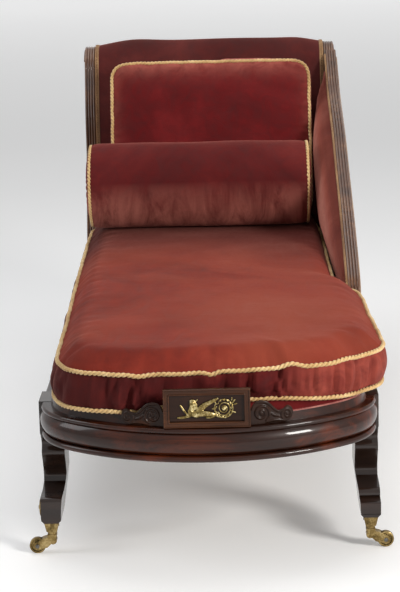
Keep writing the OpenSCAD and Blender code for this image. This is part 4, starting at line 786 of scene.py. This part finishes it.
crown_steps = [0.05, 0.15, 0.26, 0.37, 0.48, 0.58, 0.67, 0.75, 0.82, 0.88, 0.93, 0.97]
crown = lambda k: PC * (1 - k ** 2.6) ** 0.75
plump = 9 * hump(rim[:, 0] - 110, 120) * (rim[:, 1] > 0.4 * PH) + 5
rings = [pillow_ring(k, PT + crown(k)) for k in crown_steps] + [pillow_ring(1, PT)]
rings += [pillow_ring(1, PT * h, plump * math.sin(math.pi * h)) for h in (0.86, 0.7, 0.5, 0.3, 0.14)]
rings += [pillow_ring(1, 0)] + [pillow_ring(k, -crown(k)) for k in crown_steps[::-1]]
lean = math.radians(-LEAN)
tilt = np.array([[1, 0, 0], [0, math.cos(lean), -math.sin(lean)], [0, math.sin(lean), math.cos(lean)]])
stand = lambda p: np.asarray(p) @ tilt.T + [PX, PY, PZ]
verts, faces = skin(rings)
pillow = piece("pillow_cover", stand(verts), faces, red, "pillow_loose", ["pillow"], "velvet", 0.7)
held = [i for j in (len(crown_steps), len(crown_steps) + 6) for i in range(j * K, (j + 1) * K)]
swell(pillow, held, 0.007, 0.03)
pillow_folds = pleats(rim_length, 19.0, 33, 4.0)[:3]


def pillow_ruck(co, no):
    local = (co - [PX, PY, PZ]) @ tilt
    q = local[:, [0, 2]] - [0, PH / 2]
    d = np.linalg.norm(q[:, None] - rim[None], axis=2)
    near = np.argmin(d, axis=1)
    s, out = rim_run[near], d[np.arange(len(co)), near]
    fine = gathers(s, rim_length, *pillow_folds)
    face = (local[:, 1] < -1) | (local[:, 1] > PT + 1)
    off = np.where(face, 2.2 * fine * hump(out - 8, 14), 1.2 * fine)
    waves = grain(co * 0.001, 7.0, 15.0) * 3.0 + grain(co * 0.001, 18.0, 19.0) * 1.2
    off = off + np.clip(out / 40, 0.15, 1) * waves
    return co + no * off[:, None]


finer(pillow)
nudge(pillow, pillow_ruck)


def pillow_sheen_and_wear(co):
    """Paler along the top seam and on the upper part of its sides: pile rubbed at the seam, with a painted
    sheen on the upper faces.
    """
    local = (co - [PX, PY, PZ]) @ tilt
    top, side = (hump(np.maximum(0, d), w, 1.4) for d, w in
                 ((PH - local[:, 2], 26), (PW / 2 - np.abs(local[:, 0]), 20)))
    return top + 0.35 * side * (local[:, 2] > 60)


wear(pillow, pillow_sheen_and_wear)
up = tilt @ np.array([0, 1, 0])
piece("pillow_cord", *join([rope(stand(pillow_ring(1.002, y)), CORD, up) for y in (0, PT)]), gold,
      "pillow_loose", ["pillow_piping"], "gold_cord")

# Back, arm and fixed seat
POST_FRONT = [[0, 0], [0.15, 0.135], [0.42, 0.345], [0.67, 0.53],
              [0.725, 0.6], [0.75, 0.73], [0.82, 0.84], [0.92, 0.93]]
POST_REAR = [[0, 0], [0.1, 0.12], [0.36, 0.345], [0.53, 0.53],
             [0.56, 0.6], [0.58, 0.73], [0.62, 0.8], [0.7, 0.86]]
POST_H, POST_RUN = SZ - TOP, SY - SR - PF
COIL_FROM, COIL_TO, COIL_STEPS = 172, -90, 56   # the scroll's turn, in degrees
front_face = curve(np.array(POST_FRONT) * [POST_RUN, POST_H] + [PF, TOP], 12)
rear_face = curve(np.array(POST_REAR) * [SY - HEAD, POST_H] + [HEAD, TOP], 12)
fine_front = even(np.vstack([front_face, arc((SY, SZ), SR, COIL_FROM, COIL_TO, 64)]), 5.0)


def strip(line, section):
    """Rings along a line in the side view; a section point is (across, out)."""
    out = square(along(line))
    return np.stack([[[x, *(p + o * up)] for x, up in section] for p, o in zip(line, out)])


pad_line = fine_front[(fine_front[:, 1] > TOP + 5)]
rings = []
t = along(pad_line)
out = square(t)
length = lengths(pad_line)
pad_rise = (5 * share(1 + t[:, 1]) * np.minimum(1, length / 60)
            + 9 * np.maximum(0, 1 - np.abs(t[:, 1])) * share(1 + 2 * t[:, 1]))
for i, p in enumerate(pad_line):
    ring = []
    for x in np.linspace(-1, 1, 45):
        rise = pad_rise[i] * (1 - x ** 4 + 0.4 * hump(x + 0.66, 0.22) + 0.25 * hump(x - 0.78, 0.14))
        rise += (1 - x ** 8) * 1.6 * noise.noise(Vector((x * 2.2, length[i] / 90, 3.0)))
        ring.append([x * (POST_IN - GAP), *(p + out[i] * rise)])
    rings.append(ring + [[x, *(p - out[i] * 25)] for x in (POST_IN - GAP, GAP - POST_IN)])
piece("back_cover", *skin(rings, ends="flat"), back_red, "frame", ["back_pad"], "velvet", 0.5, 50)
gimp_line = pad_line[2:]
parts = []
for side in (-1, 1):
    p = at_x(side * (POST_IN - 6.0), offset(gimp_line, 0.7 + 0.08 * pad_rise[2:]))
    parts.append(braid(p, np.array([1.0, 0, 0]), facing(gimp_line), 10.5, r=1.0))
piece("back_gimp_braid", *join(parts), gimp, "frame", ["back_gimp"], "gold_cord")

# Show wood of the head: reeded posts that coil into the scroll
REEDS = 4
neck = np.array([HEAD + 0.72 * (SY - HEAD), TOP + 0.875 * POST_H])


def reeds(x0, x1, n=8, rise=3.0):
    w = (x1 - x0) / REEDS
    pts = [[x0 + w * (i + 0.5 - 0.5 * math.cos(a)), -rise + rise * math.sin(a) ** 0.8]
           for i in range(REEDS) for a in (math.pi * k / n for k in range(n))]
    return pts + [[x1, -rise]]


# Behind the neck the post's rear face runs into an inner circle of the scroll
inner = arc((SY, SZ), SR * 0.3, COIL_FROM, COIL_TO, COIL_STEPS)
blend = 1 - np.minimum(1, np.linspace(0, COIL_FROM - COIL_TO, COIL_STEPS + 1) / 60)
front_line = np.vstack([front_face, arc((SY, SZ), SR, COIL_FROM, COIL_TO, COIL_STEPS)])
rear_line = np.vstack([rear_face, inner + (blend ** 2)[:, None] * (neck - inner[0])])
for side, name in SIDES:
    x0, x1 = sorted((side * POST_IN, side * WIDE))
    fronts = strip(front_line, reeds(x0, x1))
    rings = [np.vstack([ring, [[x1, *p], [x0, *p]]]) for ring, p in zip(fronts, rear_line)]
    piece(f"head_post_{name}_reeded", *skin(rings, ends="flat"), wood_lit_reeded, "frame", [f"head_post_{name}"],
          "mahogany", None, 40)
# The carved coil on each scroll's outer face
q = np.linspace(0, 1, 110)
ang, rad = np.radians(150 - 640 * q), SR * (0.93 - 0.66 * q)
coil_line = np.stack([SY + rad * np.cos(ang), SZ + rad * np.sin(ang)], 1)
for side, name in SIDES:
    piece(f"scroll_coil_{name}", *tube(at_x(side * WIDE, coil_line), 2.6 - 1.0 * q, 8, (1, 0, 0), squash=0.8),
          wood_lit_reeded, "frame", [], "mahogany")

# Arm
ATY, ATZ, AFY = SY - 0.83 * SR, SZ + 0.72 * SR, FOOT + 560
ARM = [[0, 0], [0.03, 0.1], [0.075, 0.2], [0.27, 0.39], [0.45, 0.54],
       [0.6, 0.67], [0.83, 0.82], [0.91, 0.9], [1, 1]]
AX0, AX1 = POST_IN + FLARE, WIDE + FLARE
arm_line = even(np.vstack([[AFY, ARM_LOW],
                           curve(np.array(ARM) * [ATY - AFY, ATZ - TOP] + [AFY, TOP], 14)]), 5.0)
sec = strip(arm_line, reeds(AX0, AX1) + [[AX1, -24], [AX0, -24]])
sec[:, :, 2] = np.maximum(sec[:, :, 2], ARM_LOW)
piece("arm_rail_reeded", *skin(sec, ends="flat"), wood_lit_reeded, "frame", ["arm_rail"], "mahogany", None, 40)
arm_y = lambda z: np.interp(z, arm_line[:, 1], arm_line[:, 0])
back_part = fine_front[fine_front[:, 0] < SY - SR * 0.9]
back_part = back_part[:int(np.argmax(back_part[:, 1])) + 1]
back_y = lambda z: np.interp(z, back_part[:, 1], back_part[:, 0])
z0, z1 = TOP + 20.4, SZ - 6.6
# How far the pad swells at each height
PUFF = curve([[333, 3], [360, 12], [395, 22], [425, 31], [455, 38],
              [510, 41], [620, 41], [690, 29], [740, 15], [777, 3]], 6)
rings = []
for q in np.linspace(0, 1, 64):
    z = z0 + q * (z1 - z0)
    slope = (arm_y(z + 2) - arm_y(z - 2)) / 4
    ya = min(arm_y(z) + 12.5 * math.sqrt(1 + slope ** 2), back_y(z) - 16)
    yb = back_y(z) - 6.6
    puff = float(np.interp(z, *PUFF.T)) * min(1, (yb - ya) / 90)
    ring = [[AX0 - GAP, ya, z], [AX0 - GAP, yb, z]]
    for k in range(40, -1, -1):
        u = k / 40
        y = ya + u * (yb - ya)
        crease = 1.5 * noise.noise(Vector((y / 34, z / 190, 1.0)))
        crease += 0.7 * noise.noise(Vector((y / 13, z / 120, 5.0)))
        ring.append([AX0 - 4.5 - (puff + crease * min(1, puff / 12)) * math.sin(math.pi * u) ** 0.55, y, z])
    rings.append(ring)
arm = piece("arm_cover", *skin(rings, ends="flat"), pink, "frame", ["arm_pad"], "velvet", 0.55, 60)
# Painted sheen on the arm pad's bulge away from the rail, painted shade along the rail
wear(arm, lambda co: 1.6 * share((co[:, 1] - arm_y(co[:, 2]) - 60) / 110) - 0.6)
line = arm_line[(arm_line[:, 1] > TOP + 40) & (arm_line[:, 0] < ATY - 12)]
outward = facing(line)
inner, outer = at_x(AX0 - GAP, offset(line, -6.8)), at_x(AX1 + GAP, offset(line, -18.5))
BEAD, BEAD_STEP = 7, 1.2
beads = even(inner + outward * 2 - [2.4, 0, 0], BEAD_STEP)
swells = 1.2 + 1.9 * np.abs(np.sin(np.arange(len(beads)) * math.pi * BEAD_STEP / BEAD))
piece("arm_gimp_braid", *join([braid(inner, outward, np.array([-1.0, 0, 0]), 11.0),
                               braid(outer, outward, np.array([1.0, 0, 0]), 11.0),
                               tube(beads, swells, 7, (1, 0, 0))]), gimp, "frame", ["arm_gimp"], "gold_cord")


# The stretched velvet outside the arm, and outside the back
edge = offset(arm_line, -24.0)
edge = edge[(edge[:, 1] > TOP + 1) & (edge[:, 0] < back_y(edge[:, 1]) - GAP)]
outer_arm = np.vstack([[[AFY + 38.4, ARM_LOW + GAP]], edge,
                       back_part[back_part[:, 1] < edge[-1, 1]][::-1] - [0.3, 0], [[PF, ARM_LOW + GAP]]])
outside = piece("arm_outer_velvet", *skin([at_x(AX1 - out, outer_arm) for out in (4.4, 1.8)], ends="flat"),
                back_red, "frame", ["arm_outside"], "velvet", None, 50)
rear = np.vstack([rear_face, [neck]])
rear = even(rear[(rear[:, 0] <= neck[0]) & (rear[:, 1] <= neck[1])], 12.0)
behind = square(along(rear))
columns = np.linspace(-POST_IN + 0.3, POST_IN - 0.3, 41)
rings = []
for i, p in enumerate(rear):
    sag = [1.4 + 1.2 * noise.noise(Vector((x / 120, i / 6, 2.0))) * (1 - abs(x / POST_IN) ** 4)
           for x in columns]
    near = [[x, *(p + behind[i] * g)] for x, g in zip(columns, sag)]
    far = [[x, *(p + behind[i] * (g + 1.4))] for x, g in zip(columns, sag)]
    rings.append(near + far[::-1])
back_sheet = piece("back_outer_velvet", *skin(rings, ends="flat"), back_red, "frame", ["outside_back"],
                   "velvet", None, 60)

# Fixed seat, its braid, and the webbing and hessian under it
SB = PF - GAP
# How far in and how far up its rolled edge goes, as shares of the roll and of its rise
levels = [(0, 0), (0.02, 0.05), (0.06, 0.12), (0.15, 0.25), (0.3, 0.4), (0.5, 0.57),
          (0.75, 0.8), (0.93, 0.97), (1.05, 1.0), (1.8, 1.0), (2.4, 1.0)]


def deck_ring(depth, z):
    back = SB - 0.3 * (depth - DECK_IN)
    high = max(z, TOP + 3.1)
    x = SIDE - depth
    side = np.linspace(FOOT, back - 12, 40)[1:]
    return ([[*q, z] for q in bow_line(depth, 24)] + [[x, y, z] for y in side]
            + [[x, back, high], [-x, back, high]] + [[-x, y, z] for y in side[::-1]])


rings = [deck_ring(39.2, TOP + 4), deck_ring(39, TOP)]
rings += [deck_ring(DECK_IN + d * DECK_ROLL, TOP + h * DECK_H) for d, h in levels]
piece("seat_cover", *skin(rings, ends="flat"), red, "frame", ["seat_deck"], "velvet", 0.9, 50)
line = seat_plan(28.2, SB - 1, 40)
line = np.vstack([line[-1:], line[:-1]])
line = even(np.hstack([line, np.full((len(line), 1), TOP)]), 3.0)
course = along(line)
sideways = np.stack([course[:, 1], -course[:, 0], 0 * course[:, 0]], 1)
piece("seat_braid", *braid(line, sideways, np.array([0, 0, 1.0]), 6.0, pitch=8.0, r=0.85), rose, "frame",
      ["deck_gimp"], "gold_cord")

# Webbing, woven over and under, and the hessian on it
ALONG, ACROSS = 5, 11          # straps each way
STRAP, STRAP_T = 25, 1.2       # half their width, and their thickness
NAILED = 40                    # how far in from the rails' outside they end
web_x = [(i - (ALONG - 1) / 2) * 2 * (SIDE - 50) / ALONG for i in range(ALONG)]
web_run = SB - FOOT + BOW - 100
web_y = [FOOT - BOW + 100 + (i + 0.5) * web_run / ACROSS for i in range(ACROSS)]


def bow_at(depth, x):
    x = abs(x)
    if x < (BR - depth) * math.sin(math.radians(BA)):
        return BY - math.sqrt((BR - depth) ** 2 - x * x)
    return FOOT - math.sqrt(max(0, (CR - depth) ** 2 - (x - CX) ** 2))


def strap(line, across, up=(0, 0, 1)):
    """A flat strap along a line."""
    across, t = np.asarray(across, float), STRAP_T / 2
    sec = [(-STRAP, -t), (STRAP, -t), (STRAP, t), (-STRAP, t)]
    up = np.broadcast_to(np.asarray(up, float), line.shape)
    return skin([[p + across * a + u * b for a, b in sec] for p, u in zip(line, up)], ends="flat")


def weaving(at, other, first):
    """Heights along a strap that passes over and under those that cross it."""
    return TOP + 1.5 + sum(0.72 * (-1) ** (first + j) * hump(at - w, 34, 4) for j, w in enumerate(other))


parts = []
for i, x in enumerate(web_x):
    y = np.arange(bow_at(NAILED, abs(x) + STRAP), HEAD - 20, 6.0)
    parts.append(strap(np.stack([x + 0 * y, y, weaving(y, web_y, i)], 1)[::-1], (1, 0, 0)))
for j, y in enumerate(web_y):
    half = SIDE - NAILED
    if y - STRAP <= FOOT:
        half = CX + math.sqrt(max(0, (CR - NAILED) ** 2 - (FOOT - y + STRAP) ** 2))
    x = np.arange(-half, half, 6.0)
    parts.append(strap(np.stack([x, y + 0 * x, weaving(x, web_x, j + 1)], 1), (0, 1, 0)))
piece("seat_web_straps", *join(parts), jute, "frame", ["seat_webbing"], "linen", None, 40)
parts = []
inner_front = fine_front[(fine_front[:, 1] > TOP + 6)]
inner_front = inner_front[:int(np.argmax(inner_front[:, 0] > SY - 6))]
line = offset(inner_front, -27.2)
for i in range(ALONG):
    x = (i - (ALONG - 1) / 2) * 2 * (POST_IN - STRAP) / ALONG
    parts.append(strap(at_x(x, line), (1, 0, 0), facing(line)))
piece("back_web_straps", *join(parts), jute, "frame", ["back_webbing"], "linen", None, 40)
outline = seat_plan(40.5, SB - 4.0, 16)
sheets = [[[*q, z] for q in outline] for z in (TOP + 3.1, TOP + 3.9)]
cloth = piece("seat_hessian_sheet", *skin(sheets, ends="flat"), hessian, "frame", ["seat_hessian"],
              "linen", None, 40)

# Tablet, brackets and mounts
TY, TLOW, TW = FOOT - BOW + 12, BASE + 65.9, 162.0


def relief(parts, size):
    """Welds rounded lumps into one cast or carved relief, with voxels of a size in millimetres."""
    v, f = join(parts)
    me = bpy.data.meshes.new("relief")
    me.from_pydata((np.asarray(v) * 0.001).tolist(), [], [tuple(q) for q in f])
    ob = bpy.data.objects.new("relief", me)
    scene.collection.objects.link(ob)
    mod = ob.modifiers.new("Remesh", "REMESH")
    mod.mode = "VOXEL"
    mod.voxel_size = size * 0.001
    mod = ob.modifiers.new("Smooth", "SMOOTH")
    mod.factor, mod.iterations = 0.5, 3
    got = bpy.data.meshes.new_from_object(ob.evaluated_get(bpy.context.evaluated_depsgraph_get()))
    bpy.data.objects.remove(ob)
    return places(got) * 1000.0, [tuple(p.vertices) for p in got.polygons]


def blob(c, r, stretch=(1, 1, 1), turn=0.0, n=14):
    """A rounded lump; turn is in the plane of the relief."""
    u, w = np.meshgrid(np.linspace(0, np.pi, n)[1:-1], around(2 * n), indexing="ij")
    p = np.stack([np.cos(w) * np.sin(u), np.sin(w) * np.sin(u), np.cos(u)], -1) * r * np.array(stretch)
    k = math.radians(turn)
    p = p @ np.array([[math.cos(k), math.sin(k), 0], [-math.sin(k), math.cos(k), 0], [0, 0, 1]])
    return skin((p + np.array(c))[::-1])


def limb(points, radii, flat=0.8, sides=12):
    """A tapering rounded limb through points."""
    line = curve(np.array(points, float), 8)
    r = np.interp(np.linspace(0, 1, len(line)), np.linspace(0, 1, len(radii)), radii)
    return tube(line, r, sides, (0, 0, 1), squash=flat)


def coil(c, r0, r1, a0, turns, thick, z, way=1):
    """A cord coiled inwards from angle a0, thinner towards its ends."""
    q = np.linspace(0, 1, 90)
    a = np.radians(a0 + way * 360 * turns * q)
    r = r0 + (r1 - r0) * q
    line = np.stack([c[0] + r * np.cos(a), c[1] + r * np.sin(a), z + 0 * q], 1)
    return tube(line, thick * np.interp(q, [0, 0.1, 0.8, 1], [0.6, 1, 0.8, 0.5]), 8, (0, 0, 1))


# The mount, drawn in its own plane, 108 wide and 38 high, with its relief towards the viewer
# Chest, neck and head, headdress in four parts, forelegs in three, body and hind leg
g = [limb([(40, 7, 1.4), (34, 9, 2), (26, 12, 2.4), (23, 17, 2.4)], [4.6, 6.0, 5.4, 4.2]),
     limb([(24, 14, 2), (26, 20, 2.4), (27, 25, 2.4)], [5.0, 4.2, 3.4]),
     blob((28.2, 27.4, 2.2), 6.0, (0.9, 1.1, 0.7), 8),
     limb([(24, 31.5, 3), (28, 34, 3.4), (33, 32, 3)], [1.5, 2.0, 1.6]),
     limb([(32, 31, 2.6), (35, 25, 2.6), (34, 17, 2.2)], [2.2, 2.6, 2.0]),
     limb([(30, 24, 2.8), (31, 19, 2.6), (29, 14, 2.4)], [1.4, 1.7, 1.3]),
     limb([(33, 32, 1.8), (36, 33, 1.6), (38, 35.5, 1.2)], [1.6, 1.3, 0.8]),
     limb([(30, 10, 2.2), (20, 6, 2.2), (9, 3.8, 1.8), (0.5, 3.6, 1.4)], [3.4, 2.7, 2.2, 1.7]),
     limb([(26, 13, 3), (20, 9.5, 3), (18, 8.8, 2.4)], [2.6, 2.2, 1.9]),
     limb([(18.5, 9, 2.2), (13, 16, 2.2), (6, 26, 1.8)], [1.5, 2.1, 1.4]),
     limb([(34, 9, 2.4), (44, 10, 2.8), (55, 10, 2.8), (62, 8.4, 2.4)], [4.8, 5.2, 5.0, 4.2]),
     limb([(60, 9.5, 2.8), (66, 7, 2.4), (60, 3.4, 2), (52, 3.2, 1.6)], [4.6, 3.8, 2.0, 1.5])]
# The wing's feathers
g += [limb([(34 + 1.5 * k, 10.5 + 0.6 * k, 2.8), (40 + 2.4 * k, 19 + 1.0 * k, 3.2 - 0.15 * k),
            (50 + 3.0 * k, 26.5 + 1.1 * k, 2.6 - 0.15 * k), (59 + 2.7 * k, 31 + 0.95 * k, 1.8)],
           [2.2, 3.2, 3.0, 1.4], 0.7, 8) for k in range(7)]
# The scroll that the tail turns into, with its flower, its leaves and the sprays round it
tail = (85.0, 19.0)
g += [coil(tail, 17.0, 15.6, -205, 0.92, 1.5, 1.3), coil(tail, 13.2, 3.4, -150, 1.9, 1.35, 1.6),
      limb([(62, 9, 2), (70, 7, 2), (77, 4, 1.7), (85, 2.6, 1.5)], [3.2, 2.2, 1.6, 1.4])]


def leaf(r, degrees, size, stretch, twist=0):
    """A leaf at a distance and an angle from the tail's middle."""
    a = math.radians(degrees)
    return blob((tail[0] + r * math.cos(a), tail[1] + r * math.sin(a), 2.0), size, stretch, degrees + twist)


g += [leaf(2.9, 45 * k, 1.35, (1.3, 0.8, 1)) for k in range(8)] + [blob((*tail, 2.6), 1.7)]
g += [leaf(15.6 - 0.12 * k, -150 + 27 * k, 2.1, (1.5, 0.62, 0.8), 62) for k in range(13)]
g += [blob((x, y, 1.5), size, (1.4, 0.55, 0.6), turn)
      for x, y, turn, size in ((103, 31, 50, 3.2), (105.5, 26, 15, 2.9), (99.5, 34.5, 85, 2.6),
                               (103.5, 12, -20, 2.6), (69.5, 29.5, 120, 2.4), (66, 18.5, 190, 2.6))]
v, f = relief(g, 0.62)
v[:, 2] = np.maximum(v[:, 2], 0)
v = v[:, [0, 2, 1]] * [1.028, -0.86, 1.105] + [-55.5, TY + 3, TLOW + 16]
piece("sphinx_relief", v, f, chased, "frame", ["sphinx_mount"], "brass")

# Beads round the tablet's sunk panel and round its edge
HALF_H = 37
parts = []
for inset, out, r in ((10.2, 0.4, 1.5), (1.6, 0.2, 1.4)):
    w, h = TW / 2 - inset, HALF_H - inset
    corners = [[x * w, TY - out, TLOW + HALF_H + z * h] for x, z in ((-1, -1), (1, -1), (1, 1), (-1, 1))]
    parts.append(tube(even(np.array(corners), 2.5, True), r, 8, (0, -1, 0), True))
piece("tablet_moulding", *join(parts), tablet_wood, "frame", [], "mahogany")

# Carved brackets beside the tablet
UPPER = np.array([[0, 0.62], [0.1, 0.9], [0.25, 1], [0.4, 0.9], [0.52, 0.66],
                  [0.64, 0.48], [0.75, 0.52], [0.86, 0.68], [0.95, 0.62], [1, 0.42]])
LOWER = np.array([[0.97, 0.2], [0.88, 0.06], [0.74, 0], [0, 0]])
shape = np.vstack([curve(UPPER, 6), curve(LOWER, 4)]) * [84.0, 46.0]
parts = [skin([[(*q, z) for q in shape] for z in (0.0, 5.0)], ends="flat"),
         coil((21, 21.5), 17, 2.5, -62, 1.75, 2.5, 5.2), blob((21, 21.5, 5.6), 3.6, (1, 1, 0.7)),
         coil((71, 16), 12, 2.0, 236, 1.4, 2.1, 5.0, -1), blob((71, 16, 5.4), 2.8, (1, 1, 0.7)),
         limb([(2, 29, 5), (8, 41, 5.2), (20, 44, 5.4), (33, 40.5, 5.4),
               (44, 30, 5.2), (54, 22.5, 5.0), (63, 25, 5), (72, 29.5, 5)],
              [1.4, 2.1, 2.6, 2.8, 2.6, 2.2, 2.0, 1.2]),
         limb([(30, 3.4, 5), (44, 6, 5.4), (56, 5.5, 5.2), (66, 3.0, 5)], [1.4, 2.4, 2.1, 1.2]),
         limb([(38, 22, 5.2), (47, 15.5, 5.6), (57, 12, 5)], [1.3, 2.6, 1.2])]
v, f = relief(parts, 0.8)
v[:, 2] = np.minimum(v[:, 2], 7.6)
v[:, 1] = np.maximum(v[:, 1], 0)
# They stand against the tablet's ends, along the bow of the rail
foot_x = TW / 2 + 0.4
foot_y = BY - (BR - 13) * math.cos(math.asin(foot_x / BR))
slant = math.asin((TW / 2 + 42) / BR)
ca, sa = math.cos(slant), math.sin(slant)
back = 6.5 - v[:, 2]
for side, name in SIDES:
    put = np.stack([side * (foot_x + v[:, 0] * ca - back * sa), foot_y + v[:, 0] * sa + back * ca,
                    TLOW + v[:, 1]], 1)
    piece(f"tablet_bracket_{name}", put, [q[::side] for q in f], carved, "frame", [f"tablet_volute_{name}"],
          "mahogany")

# Rosettes on the toes
# Radius and height of each ring, from the edge to the middle; those from 8 to 14 out are petals
ROSETTE = [(18, 0), (18, 1.3), (17.3, 2.5), (16, 3.0), (14.6, 2.5), (13.8, 1.9), (12.6, 2.6),
           (10.8, 3.9), (8.6, 4.2), (7.2, 3.0), (6.4, 3.2), (5.4, 4.6), (3.4, 5.8), (1.4, 6.1)]
angles = around(96)
lobe = np.abs(np.cos(4 * angles))
parts = []
for y0 in (FOOT - 32, HEAD + 32):
    rings = []
    for r, h in ROSETTE:
        petal = 8 < r < 14
        out = r + 0.5 * lobe * petal
        rings.append(np.stack([0.5 - WIDE - h + 0.9 * (1 - lobe) * petal, y0 + out * np.cos(angles),
                               BASE * 0.395 + out * np.sin(angles)], 1))
    v, f = skin(rings[::-1])
    parts.append((v, [q[::-1] for q in f]))
piece("toe_rosettes", *join(parts), brass, "frame", ["toe_paterae"], "brass")

# The CAD's own pieces
LOOKS = ((wood_x, ("foot_rail", "bow_end", "head_rail")), (wood_y, ("side_rail",)), (ebonised, ("leg_",)),
         (carved, ("tablet_panel",)), (tablet_wood, ("tablet_frame",)),
         (beech, ("cross_braces", "corner_blocks", "crest_rail", "back_slat", "arm_uprights")),
         (steel, ("block_screws", "caster_axle")),
         (brass, ("mount_pins", "cap_screws", "caster_cap", "caster_horn", "caster_wheel")))
for name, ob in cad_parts.items():
    if ob.hide_render:
        continue
    mat = next(m for m, starts in LOOKS if name.startswith(starts))
    ob.data.materials.clear()
    ob.data.materials.append(mat)
    weld = ob.modifiers.new("Weld", "WELD")
    weld.merge_threshold = 0.00001
    flat = ob.modifiers.new("Flat", "DECIMATE")
    flat.decimate_type = "DISSOLVE"
    flat.angle_limit = math.radians(0.6)
    bevel = ob.modifiers.new("Edges", "BEVEL")
    bevel.width = 0.0009 if mat not in (brass, steel) else 0.0004
    bevel.segments = 2
    bevel.limit_method = "ANGLE"
    bevel.angle_limit = math.radians(32)
    ob.modifiers.new("Normals", "WEIGHTED_NORMAL").keep_sharp = True
    ob.data.shade_smooth()

# Floor, light and camera
floor_mat = Paint("floor", Roughness=0.55, Specular_IOR_Level=0.2)
shade = floor_mat.noise(0.8, 3.0, 0.5)
# The floor's own brightness, for the eye alone, grows with the distance behind the part
depth = floor_mat.add("SeparateXYZ", Vector=floor_mat.place).outputs["Y"]
floor_mat.set(Base_Color=floor_mat.mix(shade, rgb(236, 237, 238), rgb(242, 242, 242)),
              Emission_Color=(1, 1, 1, 1), Emission_Strength=floor_mat.math(
                  "MULTIPLY", floor_mat.seen(), floor_mat.span(depth, 1.0, 11.0, 0.18, 0.41)))
bpy.ops.mesh.primitive_plane_add(size=90, location=(0, 4, 0))
floor = bpy.context.object
floor.name = "floor"
floor.data.materials.append(floor_mat.m)

world = bpy.data.worlds.new("studio")
scene.world = world
world.use_nodes = True
sky = Nodes(world.node_tree, "Background")
sky.set(Color=(1.0, 1.0, 1.0, 1), Strength=sky.span(sky.seen(), 0.0, 1.0, 0.4, 0.7))


def lamp(name, at, to, size, power, colour):
    data = bpy.data.lights.new(name, "AREA")
    data.shape = "RECTANGLE"
    data.size, data.size_y = size
    data.energy = power
    data.color = colour
    ob = bpy.data.objects.new(name, data)
    scene.collection.objects.link(ob)
    ob.location = at
    ob.rotation_euler = (Vector(to) - Vector(at)).to_track_quat("-Z", "Y").to_euler()


lamp("key", (2.8, -3.0, 1.9), (0.1, -0.2, 0.4), (0.9, 0.9), 135, (1.0, 0.97, 0.93))
lamp("top", (-0.2, 0.3, 3.2), (0, 0.1, 0.4), (2.4, 2.8), 34, (1.0, 1.0, 1.0))
lamp("left", (-2.8, -0.9, 2.0), (0, 0.5, 0.6), (1.1, 1.8), 24, (0.97, 0.98, 1.0))

cam_data = bpy.data.cameras.new("camera")
cam = bpy.data.objects.new("camera", cam_data)
scene.collection.objects.link(cam)
yaw, pitch, roll = (math.radians(v) for v in (-1.126, 12.639, -1.485))
ahead = Vector((math.sin(yaw) * math.cos(pitch), math.cos(yaw) * math.cos(pitch), -math.sin(pitch)))
level_x = Vector((math.cos(yaw), -math.sin(yaw), 0))
level_y = level_x.cross(ahead)
cam_x = math.cos(roll) * level_x + math.sin(roll) * level_y
cam_y = -math.sin(roll) * level_x + math.cos(roll) * level_y
eye = 0.0593, -4.2784, 1.3046
cam.matrix_world = Matrix([(*row, at) for row, at in zip(zip(cam_x, cam_y, -ahead), eye)] + [(0, 0, 0, 1)])
FOCAL_PIXELS, PICTURE_HEIGHT, SENSOR = 1894.4, 592, 36
cam_data.sensor_width = SENSOR
cam_data.lens = FOCAL_PIXELS * SENSOR / PICTURE_HEIGHT
scene.camera = cam
scene.view_settings.view_transform = "Standard"
